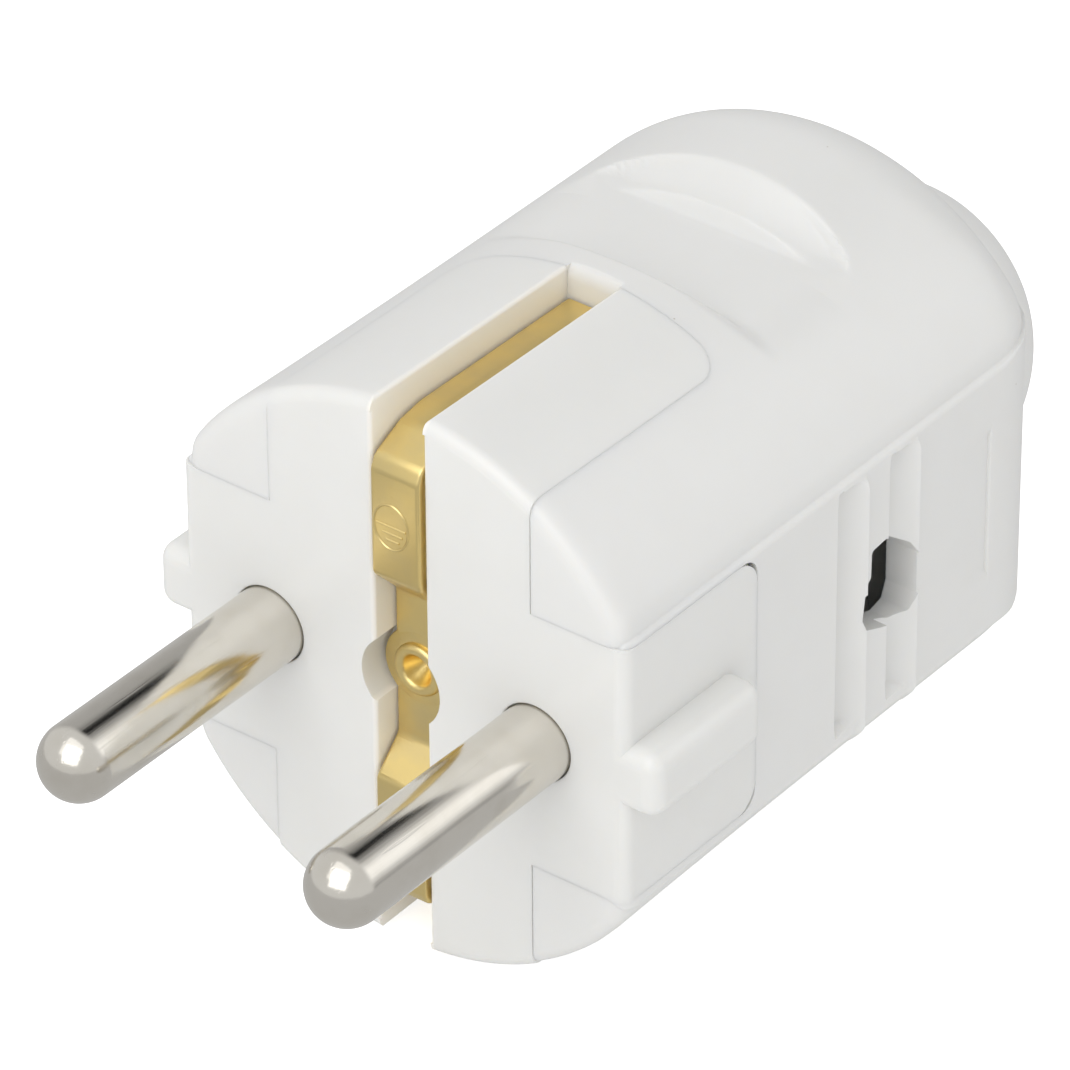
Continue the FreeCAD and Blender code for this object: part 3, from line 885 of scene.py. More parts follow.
@dataclass(frozen=True)
class Hood(FieldForm):
    """Moulded cover with flats, finger scoops, grip grooves, windows and the rear dome.

    Its outside is a field. Each form works on distances past its own faces, and the
    factors just below 1 turn a height over a slope into such a distance.
    """

    radius: float = 18.05
    flare: Pair = (0.25, 24.0)  # what the radius gains at the face, and the Y where that ends
    flat: float = 15.75
    rear: float = 43.24
    shoulder: float = 6.6
    plan_corner: float = 7.45
    front_blend: float = 1.32
    lift: float = 0.3  # height of the side panels over the rolled sides
    roll: float = 0.42
    side_panel: Point = (-9.45, 8.95, 0.5)  # lowest Z, highest Z, edge radius
    side_reach: float = 0.4
    blend: float = 0.1

    dome: float = 10.45
    dome_at: float = 43.7
    dome_end: float = 52.0
    dome_edge: float = 1.6
    dome_root: float = 0.28
    hole: float = 4.3
    wall: float = 2.0

    scoop_floor: float = 15.6
    scoop_front: Pair = (21.5, 1.5625)  # Y of the foot, slope
    scoop_step: Pair = (29.2, 1.667)  # Y of the foot, slope
    scoop_ramp: tuple[float, float, float, float] = (29.8, 16.6, 0.15, 0.21)  # Y, Z, slope, bend
    scoop_crown: float = 25.0
    scoop_plan: Point = (9.4, 28.6, 3.6)  # half width, Y of the widest place, reach behind it
    scoop_rim: Pair = (0.28, 0.9)  # blend in the middle, and what the sides add
    scoop_sides: Pair = (4.0, 5.0)  # X where the rim softens, and over how far
    scoop_back: Pair = (29.5, 2.0)  # Y past which the rim stays crisp, and over how far

    rib_starts: Pair = (19.85, 24.85)
    rib_length: float = 2.6
    rib_floor: Point = (-1.0, 0.0, 0.205)  # depth at the start, slope, bend
    rib_dip_half: float = 8.3
    rib_end: Point = (-9.93, 8.9, 1.6)  # lowest Z, highest Z, end radius
    recess: tuple[float, float, float, float] = (31.4, 34.85, 4.8, 0.22)  # Y, Y, half height, depth

    fit: float = 0.006
    band: float = 9.2
    pad_end: float = 17.8
    pad_corner: float = 2.0
    panel: float = 8.55
    panel_end: float = 12.2
    pocket_corner: float = 1.25
    notch_half: float = 1.85
    notch: tuple[Pair, ...] = ((0.0, 17.1), (0.08, 17.6), (0.3, 17.9), (0.75, 18.2))  # Y past the pad, Z
    notch_top: float = 18.9
    face_groove: Pair = (1.1, 0.1)  # spread before the face, depth behind it

    cavity: Point = (13.75, 38.0, 13.4)  # half width, rear Y, half height
    cavity_round: float = 16.1
    cavity_step: Pair = (9.6, 41.2)  # half width, rear Y

    window: tuple[Pair, ...] = (
        (23.2, 2.8), (24.6, 2.95), (27.0, 1.4), (27.45, 0.6), (27.45, -2.2), (27.0, -3.3),
        (25.9, -3.55), (24.1, -2.95), (22.45, -2.3), (22.2, -1.4), (22.3, 0.3), (23.15, 1.0))
    window_corner: float = 0.25
    window_depth: Pair = (12.7, 17.0)

    mesh_front: float = 3.0
    mesh_rear: float = 36.5
    face_rings: tuple[float, ...] = (6.0, 11.0, 13.0, 15.0, 16.0, 16.8, 17.2, 17.45, 17.7, 17.9, 18.0)
    edge_rings: tuple[float, ...] = (0.02, 0.1, 0.2, 0.35, 0.5, 0.7, 1.0, 1.6)

    def field(self, x: Array, y: Array, z: Array) -> Array:
        """Outer form of the hood, solid inside.

        Args:
            x: X of each point.
            y: Y of each point.
            z: Z of each point.

        Returns:
            The field, negative inside.
        """
        x = np.abs(x)
        height = np.abs(z)
        away = np.hypot(x, z)
        gain, end = self.flare
        flared = away - self.radius - gain * np.maximum(1.0 - y / end, 0.0) ** 2
        round_form = rounded_corner(flared, y - self.rear, self.shoulder)
        plan = rounded_corner(x - self.flat + self.lift, y - self.rear, self.plan_corner)
        body = smooth_max(round_form, plan, self.roll)
        body = smooth_min(body, self.raised_side(x, y, z, round_form), self.blend)
        body = smooth_max(body, -y, self.front_blend)
        body = smooth_max(body, self.scoop(x, y, height), self.scoop_softness(x, y))
        body = smooth_max(body, self.flat_recess(x, y, height), self.blend)
        for start in self.rib_starts:
            body = smooth_max(body, self.rib_dip(x, y, height, start), 0.08)
            body = smooth_min(body, self.rib(x, y, z, start), 0.12)
        ball = np.hypot(away, y - self.dome_at) - self.dome
        ball = smooth_max(ball, y - self.dome_end, self.dome_edge)
        return smooth_min(body, ball, self.dome_root)

    def raised_side(self, x: Array, y: Array, z: Array, round_form: Array) -> Array:
        """Flat panel that stands a little proud of the body's rolled side.

        Args:
            x: Distance from the middle plane.
            y: Y of each point.
            z: Z of each point.
            round_form: Field of the round body.

        Returns:
            The field, negative inside.
        """
        low, high, edge = self.side_panel
        plan = rounded_corner(x - self.flat, y - self.rear, self.plan_corner)
        border = rounded_corner(x - self.flat, np.maximum(z - high, low - z), edge)
        return np.maximum(np.maximum(plan, border), round_form - self.side_reach)

    def rib_height(self, along: Array) -> Array:
        """Height of a grip rib's hollow ramp over the flat."""
        first, slope, bend = self.rib_floor
        return first + slope * along + bend * along**2

    def rib_dip(self, x: Array, y: Array, height: Array, start: float) -> Array:
        """Part of a grip rib's hollow that sinks into the flat.

        Args:
            x: Distance from the middle plane.
            y: Y of each point.
            height: Distance from the level plane.
            start: Y where the hollow starts.

        Returns:
            The field, positive in the hollow.
        """
        along = y - start
        over = (x - self.flat - self.rib_height(along)) * 0.93
        return smooth_min(np.minimum(along, over), (self.rib_dip_half - height) * 0.8, 0.7)

    def rib(self, x: Array, y: Array, z: Array, start: float) -> Array:
        """Part of a grip rib that stands out of the flat, with a steep rear side.

        Args:
            x: Distance from the middle plane.
            y: Y of each point.
            z: Z of each point.
            start: Y where the rib's hollow starts.

        Returns:
            The field, negative inside.
        """
        foot = 1.0
        along = np.clip(y - start, foot, self.rib_length + foot)
        top = self.rib_height(np.full(1, self.rib_length))[0]
        ramp = (x - self.flat - self.rib_height(along)) * 0.86
        low, high, edge = self.rib_end
        ends = rounded_corner(x - self.flat - top, np.maximum(z - high, low - z), edge)
        back = smooth_max(ramp, y - start - self.rib_length, 0.12)
        return np.maximum(back, np.maximum(ends, foot - (y - start)))

    def scoop(self, x: Array, y: Array, height: Array) -> Array:
        """Finger scoop: sloped front wall, flat floor, step and curved ramp.

        Args:
            x: Distance from the middle plane.
            y: Y of each point.
            height: Distance from the level plane.

        Returns:
            The field, positive in the scoop.
        """
        floor = height - self.scoop_floor
        start, rise = self.scoop_front
        front = (floor - (start - y) * rise) / math.hypot(1, rise)
        start, rise = self.scoop_step
        step = (floor - (y - start) * rise) / math.hypot(1, rise)
        start, level, rise, bend = self.scoop_ramp
        crown = self.scoop_crown - np.sqrt(np.maximum(self.scoop_crown**2 - x**2, 1.0))
        along = np.clip(y - start, -1.0, 4.0)
        ramp = (height - level + crown - along * rise - along * np.abs(along) * bend) * 0.82
        half, middle, reach = self.scoop_plan
        plan = (1.0 - np.hypot(x / half, np.maximum(y - middle, 0.0) / reach)) * reach
        over = smooth_min(smooth_min(front, floor, 0.5), np.maximum(step, ramp), 0.25)
        return smooth_min(over, plan, 0.2)

    def scoop_softness(self, x: Array, y: Array) -> Array:
        """Blend at the scoop's rim, wider towards its sides.

        Args:
            x: Distance from the middle plane.
            y: Y of each point.

        Returns:
            Width of the blend.
        """
        crisp, more = self.scoop_rim
        side, over = self.scoop_sides
        back, ahead = self.scoop_back
        share = np.clip((x - side) / over, 0.0, 1.0) * np.clip((back - y) / ahead, 0.0, 1.0)
        return crisp + more * share

    def flat_recess(self, x: Array, y: Array, height: Array) -> Array:
        """Shallow wedge near the rear of the flat.

        Args:
            x: Distance from the middle plane.
            y: Y of each point.
            height: Distance from the level plane.

        Returns:
            The field, positive in the wedge.
        """
        near, far, half, depth = self.recess
        sink = x - self.flat + depth * (y - near) / (far - near)
        return np.minimum(np.minimum(sink, (far - y) * 0.5), (half - height) * 0.5)

    def rays(self) -> list[Pair]:
        """Rings of the hood's mesh, from the front face to the rear end.

        Returns:
            For each ring, the Y of its origin and its lean towards +Y in radians.
        """
        front, rear = self.mesh_front, self.mesh_rear
        rings = [(front, math.atan2(-front, r)) for r in self.face_rings]
        rings += [(front, math.atan2(y - front, self.radius + 0.05)) for y in self.edge_rings]
        peaks = [(20.6, 1.0, 2.0), (29.5, 0.7, 2.5), (31.6, 0.8, 2.0), (34.85, 0.35, 9.0), (12.4, 0.3, 4.0)]
        for start in self.rib_starts:
            peaks += [(start, 0.12, 9.0), (start + self.rib_length, 0.15, 9.0)]
        rings += [(y, 0.0) for y in spread(front, rear, 190, peaks)]
        dome_root = math.atan2(self.rear - rear, 10.5)
        corner = math.atan2(15.5, 6.35)
        leans = spread(0.0, math.pi / 2, 92, [(dome_root, 0.05, 4.0), (corner, 0.05, 2.0)])
        return rings + [(rear, lean) for lean in leans[1:-1]]

    def turns(self) -> Array:
        """Angles of the hood's columns, closer at the edges of the flats and scoops.

        Returns:
            The angles round the Y axis.
        """
        edge = math.atan2(self.side_panel[1], self.flat)
        side = math.asin(self.scoop_floor / self.radius)
        peaks = [(edge - 0.01, 0.03, 14.0), (edge + 0.05, 0.03, 3.0), (side, 0.03, 3.0)]
        quarter = spread(0.0, math.pi / 2, 101, peaks)
        half = np.concatenate([quarter, math.pi - quarter[-2::-1]])
        return np.concatenate([half, math.pi + half[1:-1]])

    def opening(self) -> list[Object]:
        """Cutters for the carrier's cross-shaped room.

        Returns:
            The cutters.
        """
        wide, tall = self.band + self.fit, self.panel + self.fit
        end, stop = self.pad_end + self.fit, self.panel_end + self.fit
        plan = rounded_outline(rectangle((-wide, -FAR), (wide, end)), self.pad_corner)
        side = rounded_outline(rectangle((-FAR, -tall), (stop, tall)), self.pocket_corner)
        inside = end - 1.8
        rim = [(inside, self.notch[0][1])] + [(end + y, z) for y, z in self.notch]
        rim.append((inside, self.notch_top))
        cutters = [
            extruded("opening_band", plan, 2, -FAR, FAR),
            extruded("opening_panel", side, 0, -FAR, FAR),
            extruded("opening_rim", rim, 0, -self.notch_half, self.notch_half),
        ]
        out, deep = self.face_groove
        inner = wide - 0.01
        for sign in (1.0, -1.0):
            edge = [(inner, -1.0), (wide + out, -1.0), (wide, deep), (inner, deep)]
            groove = extruded("opening_edge", [(sign * x, y) for x, y in edge], 2, -FAR, FAR)
            cutters.append(groove)
        half = self.cavity[0]
        room = bar("opening_inner", (-half, -FAR, 0.01 - tall), (half, self.pad_end + 1, tall - 0.01))
        return cutters + [room]

    def hollow(self) -> list[Object]:
        """Cutters for the cavity, the neck and the cable hole.

        Returns:
            The cutters.
        """
        wide, end, tall = self.cavity
        radius = self.cavity_round
        first = math.acos(wide / radius)
        last = math.asin(tall / radius)
        turns = [first + (last - first) * i / 6 for i in range(7)]
        quarter = [(radius * math.cos(turn), radius * math.sin(turn)) for turn in turns]
        outline = quarter + [(-a, b) for a, b in reversed(quarter)]
        outline += [(-a, -b) for a, b in quarter] + [(a, -b) for a, b in reversed(quarter)]
        step, step_end = self.cavity_step
        inner = self.dome - self.wall
        begin, stop = end - 0.5, self.dome_end - self.wall
        profile = [(0.0, begin)]
        for i in range(13):
            y = begin + (stop - begin) * i / 12
            profile.append((math.sqrt(max(inner**2 - (y - self.dome_at) ** 2, 1.0)), y))
        profile += [(self.hole, stop), (self.hole, self.dome_end + 1), (0.0, self.dome_end + 1)]
        return [
            extruded("cavity", outline, 1, self.pad_end + 0.01, end),
            bar("cavity_step", (-step, end - 1, -step), (step, step_end, step)),
            new_object("neck", turned("neck", profile, 96)),
        ]

    def windows(self) -> list[Object]:
        """Cutters for the snap windows in both flats.

        Returns:
            The cutters.
        """
        outline = rounded_outline(list(self.window), self.window_corner, 5)
        near, far = self.window_depth
        return [extruded("window", outline, 0, sign * near, sign * far) for sign in (1.0, -1.0)]

    def build(self, finish: Material) -> Object:
        """The hood as one closed mesh.

        Args:
            finish: Its material.

        Returns:
            The piece, riding on the plug.
        """
        mesh = RadialMesher(self.turns()).mesh("hood_shell", self, self.rays())
        piece = new_object("hood_shell", mesh)
        carve(piece, self.opening() + self.hollow() + self.windows())
        piece.data.materials.clear()
        piece.data.materials.append(finish)
        shade(piece.data, 38.0)
        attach(piece, "root")
        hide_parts("hood")
        LOG.info("hood_shell: %d faces", len(piece.data.polygons))
        return piece


# Contact carrier


@dataclass(frozen=True)
class Carrier:
    """Cross-shaped insert with guide lugs, strip slot, terminal rooms, snap arms and cord saddle."""

    band: float = 9.2
    pad_end: float = 17.8
    pad_corner: float = 2.0
    panel: Point = (15.75, 12.2, 8.55)  # half width, rear Y, half height
    panel_corner: float = 1.8
    edge: float = 0.8
    radius: Point = (18.05, 0.25, 24.0)  # radius, what it gains at the face, Y where that ends
    lug: tuple[float, float, float, float] = (17.9, 10.2, 2.1, 1.1)  # reach, rear Y, half height, edge
    slot_half: float = 1.85
    slot_disc: Pair = (2.8, 2.55)  # radius, depth
    flare: float = 0.28
    pad_drop: float = 0.1
    strip: tuple[Pair, ...] = ((17.6, 16.0), (4.2, 16.15), (2.4, 15.85), (0.1, 14.8), (-0.3, 14.0),
                               (-0.3, 7.0), (1.72, 4.95))  # Y and Z of the strip's outer side
    strip_thick: float = 0.83

    face_plate: float = 5.0
    room: Pair = (4.8, 13.2)  # half width, half height
    side_room: Point = (6.4, 12.85, 7.2)  # nearest X, farthest X, half height
    end_room: Point = (7.6, 9.6, 13.2)  # half width, nearest Z, farthest Z
    pin: Pair = (9.5, 2.46)  # X, radius of the hole
    pin_edge: float = 0.1
    collar: Pair = (3.4, 1.2)  # radius, depth
    plate: Point = (12.6, 1.6, 4.3)  # half width, thickness, half height
    rivet: float = 1.22

    platform: tuple[Point, Point] = ((-6.6, 4.0, -9.4), (6.6, 36.0, -7.4))
    saddle: tuple[Point, Point] = ((-11.0, 29.6, -9.4), (11.0, 35.4, -1.6))
    trough: float = 4.0
    clamp_screws: Point = (7.8, 32.5, 1.7)  # X, Y, radius of the hole
    nut_pocket: tuple[float, Pair, Pair] = (2.7, (29.8, 36.4), (-8.6, -6.4))  # half width, Y, Z
    arm: tuple[Pair, ...] = ((12.6, 4.99), (13.6, 4.99), (13.6, 23.4), (14.5, 23.4), (14.5, 23.8),
                             (13.6, 24.5), (12.6, 24.5))  # X and Y of a snap arm's outline
    arm_half: float = 2.0

    def limit(self, y: float) -> float:
        """Radius of the round ends at a height above the face."""
        body, gain, end = self.radius
        return body + gain * max(1.0 - y / end, 0.0) ** 2

    def round_band(self) -> Object:
        """Upright band with round ends, a rounded front edge and round rear corners.

        Returns:
            The closed solid.
        """
        profile = [(0.0, 0.0)]
        profile += [(self.limit(y) - inset, y) for inset, y in quarter_round(self.edge, 8)]
        for i in range(1, 13):
            y = self.edge + (self.pad_end - self.edge) * i / 12
            profile.append((self.limit(y), y))
        profile.append((0.0, self.pad_end))
        form = new_object("carrier_shell", turned("carrier_shell", profile, 360))
        plan = rectangle((-self.band, -FAR), (self.band, self.pad_end + 0.001))
        plan = rounded_outline(plan, self.pad_corner, 12)
        carve(form, [extruded("band_plan", plan, 2, -FAR, FAR)], "INTERSECT")
        return form

    def side_band(self) -> Object:
        """Level band with flat ends, rounded at its front and rear edges.

        Returns:
            The closed solid.
        """
        wide, end, tall = self.panel
        side = rounded_outline(rectangle((-FAR, -tall), (end, tall)), self.panel_corner, 10)
        plan = rounded_outline(rectangle((-wide, 0.0), (wide, FAR)), self.edge, 8)
        form = extruded("side_band", side, 0, -FAR, FAR)
        carve(form, [extruded("side_plan", plan, 2, -FAR, FAR)], "INTERSECT")
        return form

    def lugs(self) -> Object:
        """Both guide lugs as one bar with well rounded edges.

        Returns:
            The closed solid.
        """
        out, end, half, edge = self.lug
        form = bar("lugs", (-out, 0.0, -half), (out, end, half))
        bevel(form, edge, 10)
        return form

    def slot_path(self) -> Outline:
        """Floor of the strip slot, from the top rear end to the bottom rear end.

        Returns:
            Y and Z of each corner.
        """
        outer = list(self.strip) + [(y, -z) for y, z in reversed(self.strip)]
        floor = []
        for i, here in enumerate(outer):
            before, after = outer[max(i - 1, 0)], outer[min(i + 1, len(outer) - 1)]
            sides = []
            for a, b in ((before, here), (here, after)):
                if a != b:
                    way = (Vector(b) - Vector(a)).normalized()
                    sides.append(Vector((-way.y, way.x)))
            side = (sides[0] + sides[-1]).normalized()
            floor.append(tuple(Vector(here) + side * (self.strip_thick / side.dot(sides[0]))))
        return floor

    def slot(self) -> list[Object]:
        """Cutters for the strip slot with its round middle and rounded mouth.

        Returns:
            The cutters.
        """
        path = self.slot_path()
        outline = [(FAR, path[0][1])] + path + [(FAR, path[-1][1]), (FAR, -FAR), (-FAR, -FAR), (-FAR, FAR)]
        outline.append((FAR, FAR))
        half = self.slot_half
        mouth = [(half + inset, depth) for inset, depth in quarter_round(self.flare, 6)]
        wide = half + self.flare
        across = [(-wide, -1.0)] + [(-x, y) for x, y in mouth] + mouth[::-1] + [(wide, -1.0)]
        radius, deep = self.slot_disc
        disc = [(0.0, -1.0), (radius, -1.0), (radius, deep), (0.0, deep)]
        cutters = [
            extruded("slot", outline, 0, -half, half),
            extruded("slot_mouth", across, 2, -17.4, 17.4),
            new_object("slot_disc", turned("slot_disc", disc, 96)),
        ]
        return cutters + [self.pad_mouth(across, sign) for sign in (1.0, -1.0)]

    def pad_mouth(self, across: Outline, sign: float) -> Object:
        """Cutter for the slot's rounded mouth along one pad, which follows the pad's flare.

        Args:
            across: X and depth of the mouth's outline.
            sign: 1 for the upper pad, -1 for the lower.

        Returns:
            The cutter.
        """
        body = self.radius[0]
        top = body - self.pad_drop
        outline = [(x, sign * (19.0 if depth < 0 else top - depth)) for x, depth in across]
        cutter = extruded("pad_mouth", outline, 1, -1.0, 20.0)
        for vertex in cutter.data.vertices:
            y = max(vertex.co.y / MM, 0.0)
            vertex.co.z += sign * (self.limit(y) - body) * MM
        return cutter

    def rooms(self) -> list[Object]:
        """Cutters for the terminal rooms, the pin seats and the plate's recess.

        Returns:
            The cutters.
        """
        rear, front = self.pad_end + 1.0, self.face_plate
        wide, thick, tall = self.plate
        half, high = self.room
        cutters = [
            bar("room", (-half, front, -high), (half, rear, high)),
            bar("recess", (-wide, front, -tall), (wide, front + thick, tall)),
        ]
        x, hole = self.pin
        collar, depth = self.collar
        seat = [(0.0, -1.0), (hole + self.pin_edge, -1.0)]
        seat += [(hole + inset, y) for inset, y in quarter_round(self.pin_edge, 4)]
        seat += [(hole, front - depth), (collar, front - depth), (collar, front + 1.0), (0.0, front + 1.0)]
        near, far, side_high = self.side_room
        end_half, low, top = self.end_room
        for sign in (-1.0, 1.0):
            side = (sign * near, front + 0.01, -side_high), (sign * far, rear + 0.1, side_high)
            cutters.append(bar("room_side", *side))
            end = (-end_half, front + 0.02, sign * low), (end_half, rear + 0.2, sign * top)
            cutters.append(bar("room_end", *end))
            cutters.append(new_object("seat", turned("seat", seat, 96, (sign * x, 0.0))))
        rivet = [(0.0, -1.0), (self.rivet, -1.0), (self.rivet, front + 1.0), (0.0, front + 1.0)]
        cutters.append(new_object("rivet_hole", turned("rivet_hole", rivet, 64)))
        return cutters

    def cord_saddle(self) -> Object:
        """Lower half of the cord clamp with its trough, screw holes and nut pockets.

        Returns:
            The closed solid.
        """
        form = bar("saddle", *self.saddle)
        trough = [(0.0, 20.0), (self.trough, 20.0), (self.trough, 40.0), (0.0, 40.0)]
        cuts = [new_object("trough", turned("trough", trough, 64))]
        middle, place, radius = self.clamp_screws
        half, span, heights = self.nut_pocket
        for x in (-middle, middle):
            cuts.append(bar("nut_pocket", (x - half, span[0], heights[0]), (x + half, span[1], heights[1])))
            square = rectangle((x - radius, place - radius), (x + radius, place + radius))
            hole = rounded_outline(square, radius - 0.01, 8)
            cuts.append(extruded("screw_hole", hole, 2, -12.0, 0.0))
        carve(form, cuts)
        return form

    def inner_parts(self) -> list[Object]:
        """Snap arms, platform and lower clamp half, joined behind the cross.

        Returns:
            The closed solids.
        """
        parts = [bar("platform", *self.platform), self.cord_saddle()]
        for sign in (1.0, -1.0):
            outline = [(sign * x, y) for x, y in self.arm]
            parts.append(extruded("arm", outline, 2, -self.arm_half, self.arm_half))
        return parts

    def build(self, finish: Material) -> Object:
        """The carrier as one mesh.

        Args:
            finish: Its material.

        Returns:
            The piece, riding on the plug.
        """
        piece = self.round_band()
        carve(piece, [self.side_band(), self.lugs()], "UNION")
        carve(piece, self.slot() + self.rooms())
        carve(piece, self.inner_parts(), "UNION")
        piece.data.materials.clear()
        piece.data.materials.append(finish)
        shade_panes(piece, 34.0)
        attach(piece, "root")
        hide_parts("contact_carrier")
        LOG.info("carrier_shell: %d faces", len(piece.data.polygons))
        return piece


# Contacts


@dataclass(frozen=True)
class ContactPin:
    """Round pin with a ball tip, a root, a collar and a square clamping block."""

    side: str
    x: float
    radius: float = 2.4
    tip: float = -18.995
    root: float = 2.5
    collar: Point = (3.3, 3.8, 5.0)  # radius, front Y, rear Y
    collar_edge: float = 0.1
    neck: Pair = (2.8, 6.6)  # radius, rear Y
    block: Pair = (2.9, 15.0)  # half width, rear Y
    block_edge: float = 0.25
    wire: Pair = (1.5, 7.5)  # radius, depth
    screw: Pair = (1.5, 11.4)  # radius, Y
    sides: int = 144

    def shank(self) -> Object:
        """Ball tip, shank, root, collar and neck, turned in one.

        Returns:
            The closed solid.
        """
        centre = self.tip + self.radius
        profile = [(0.0, self.tip)]
        for i in range(1, 29):
            turn = math.pi / 2 * i / 28
            profile.append((self.radius * math.sin(turn), centre - self.radius * math.cos(turn)))
        wide, front, rear = self.collar
        neck, end = self.neck
        profile += [(self.radius, y) for y in (-10.0, -4.0, 0.0)]
        profile += [(self.root, front), (wide - self.collar_edge, front), (wide, front + self.collar_edge)]
        profile += [(wide, rear), (neck, rear), (neck, end + 0.2), (0.0, end + 0.2)]
        name = "pin_" + self.side + "_shell"
        return new_object(name, turned(name, profile, self.sides, (self.x, 0.0)))

    def head(self) -> Object:
        """Square clamping block behind the neck.

        Returns:
            The closed solid.
        """
        half, end = self.block
        block = bar("head", (self.x - half, self.neck[1], -half), (self.x + half, end, half))
        bevel(block, self.block_edge, 3)
        return block

    def holes(self) -> list[Object]:
        """Cutters for the wire hole and the screw's hole.

        Returns:
            The cutters.
        """
        bore, depth = self.wire
        end = self.block[1]
        hole = [(0.0, end - depth), (bore, end - depth + 0.6), (bore, end + 1.0), (0.0, end + 1.0)]
        thread, place = self.screw
        turns = [math.pi * i / 24 for i in range(48)]
        ring = [(self.x + thread * math.cos(turn), place + thread * math.sin(turn)) for turn in turns]
        wire_hole = new_object("wire_hole", turned("wire_hole", hole, 48, (self.x, 0.0)))
        return [wire_hole, extruded("screw_hole", ring, 2, 0.0, 5.0)]

    def build(self, finish: Material) -> Object:
        """The pin as one mesh.

        Args:
            finish: Its material.

        Returns:
            The piece, riding on the plug.
        """
        piece = self.shank()
        carve(piece, [self.head()], "UNION")
        carve(piece, self.holes())
        piece.data.materials.clear()
        piece.data.materials.append(finish)
        shade_panes(piece, 30.0)
        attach(piece, "root")
        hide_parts("pin_" + self.side)
        LOG.info("%s: %d faces", piece.name, len(piece.data.polygons))
        return piece


@dataclass(frozen=True)
class EarthStrip:
    """Bent brass strip over the face and both pads, swept along its path."""

    half: float = 1.7
    thick: float = 0.8
    edge: float = 0.2
    disc: Pair = (2.55, 1.72)  # radius, front Y
    hole: float = 1.22
    path: tuple[Point, ...] = (
        (17.6, 16.0, 0.0), (4.2, 16.15, 4.0), (2.4, 15.85, 2.0), (0.1, 14.8, 0.9), (-0.3, 14.0, 0.9),
        (-0.3, 7.0, 0.7), (1.72, 4.95, 0.7))  # Y, Z and bend radius of the upper half's outer side

    def bend(self, before: Vector, here: Vector, after: Vector, radius: float) -> Outline:
        """Points of one rounded bend.

        Args:
            before: Corner before the bend.
            here: The bend's corner.
            after: Corner after it.
            radius: Radius of the bend, smaller where the runs are short.

        Returns:
            Y and Z of the points.
        """
        a, b = (before - here).normalized(), (after - here).normalized()
        reach = radius / math.tan(a.angle(b) / 2)
        reach = min(reach, 0.45 * (before - here).length, 0.45 * (after - here).length)
        first, last = here + a * reach, here + b * reach
        shares = [k / 8 for k in range(9)]
        return [tuple(first * (1 - t) ** 2 + here * 2 * t * (1 - t) + last * t**2) for t in shares]

    def middle_line(self) -> Outline:
        """Middle of the strip's thickness, with every bend rounded.

        Returns:
            Y and Z of the points.
        """
        outer = list(self.path) + [(y, -z, bend) for y, z, bend in reversed(self.path)]
        line: Outline = []
        for i, (y, z, radius) in enumerate(outer):
            if radius == 0.0:
                line.append((y, z))
                continue
            before, after = Vector(outer[i - 1][:2]), Vector(outer[i + 1][:2])
            line += self.bend(before, Vector((y, z)), after, radius)
        moved = []
        last = len(line) - 1
        for i, (y, z) in enumerate(line):
            way = (Vector(line[min(i + 1, last)]) - Vector(line[max(i - 1, 0)])).normalized()
            moved.append((y - way.y * self.thick / 2, z + way.x * self.thick / 2))
        return moved

    def sweep(self) -> NodeTree:
        """Geometry nodes that sweep a rounded rectangle along a path.

        Returns:
            The node group.
        """
        tree = bpy.data.node_groups.new("strip_sweep", "GeometryNodeTree")
        tree.interface.new_socket("Geometry", in_out="INPUT", socket_type="NodeSocketGeometry")
        for label in ("Width", "Thickness", "Edge Radius"):
            tree.interface.new_socket(label, in_out="INPUT", socket_type="NodeSocketFloat")
        tree.interface.new_socket("Material", in_out="INPUT", socket_type="NodeSocketMaterial")
        tree.interface.new_socket("Geometry", in_out="OUTPUT", socket_type="NodeSocketGeometry")
        nodes, links = tree.nodes, tree.links
        start, end = nodes.new("NodeGroupInput"), nodes.new("NodeGroupOutput")
        curve = nodes.new("GeometryNodeMeshToCurve")
        section = nodes.new("GeometryNodeCurvePrimitiveQuadrilateral")
        soft = nodes.new("GeometryNodeFilletCurve")
        soft.mode = "POLY"
        soft.inputs["Count"].default_value = 4
        swept = nodes.new("GeometryNodeCurveToMesh")
        swept.inputs["Fill Caps"].default_value = True
        real = nodes.new("GeometryNodeRealizeInstances")
        dressed = nodes.new("GeometryNodeSetMaterial")
        links.new(start.outputs["Geometry"], curve.inputs["Mesh"])
        links.new(start.outputs["Width"], section.inputs["Width"])
        links.new(start.outputs["Thickness"], section.inputs["Height"])
        links.new(section.outputs["Curve"], soft.inputs["Curve"])
        links.new(start.outputs["Edge Radius"], soft.inputs["Radius"])
        links.new(curve.outputs["Curve"], swept.inputs["Curve"])
        links.new(soft.outputs["Curve"], swept.inputs["Profile Curve"])
        links.new(swept.outputs["Mesh"], real.inputs["Geometry"])
        links.new(real.outputs["Geometry"], dressed.inputs["Geometry"])
        links.new(start.outputs["Material"], dressed.inputs["Material"])
        links.new(dressed.outputs["Geometry"], end.inputs["Geometry"])
        return tree

    def swept(self, finish: Material) -> Object:
        """The strip before its round seat and its hole.

        Args:
            finish: Its material.

        Returns:
            The closed solid.
        """
        line = self.middle_line()
        points = [(0.0, y * MM, z * MM) for y, z in line]
        mesh = bpy.data.meshes.new("earth_strip_shell")
        mesh.from_pydata(points, [(i, i + 1) for i in range(len(line) - 1)], [])
        piece = new_object("earth_strip_shell", mesh)
        tree = self.sweep()
        step = piece.modifiers.new("sweep", "NODES")
        step.node_group = tree
        wanted = {"Width": 2 * self.half * MM, "Thickness": self.thick * MM,
                  "Edge Radius": self.edge * MM, "Material": finish}
        for item in tree.interface.items_tree:
            if item.in_out == "INPUT" and item.name in wanted:
                step[item.identifier] = wanted[item.name]
        settle(piece)
        outwards(piece.data)
        return piece

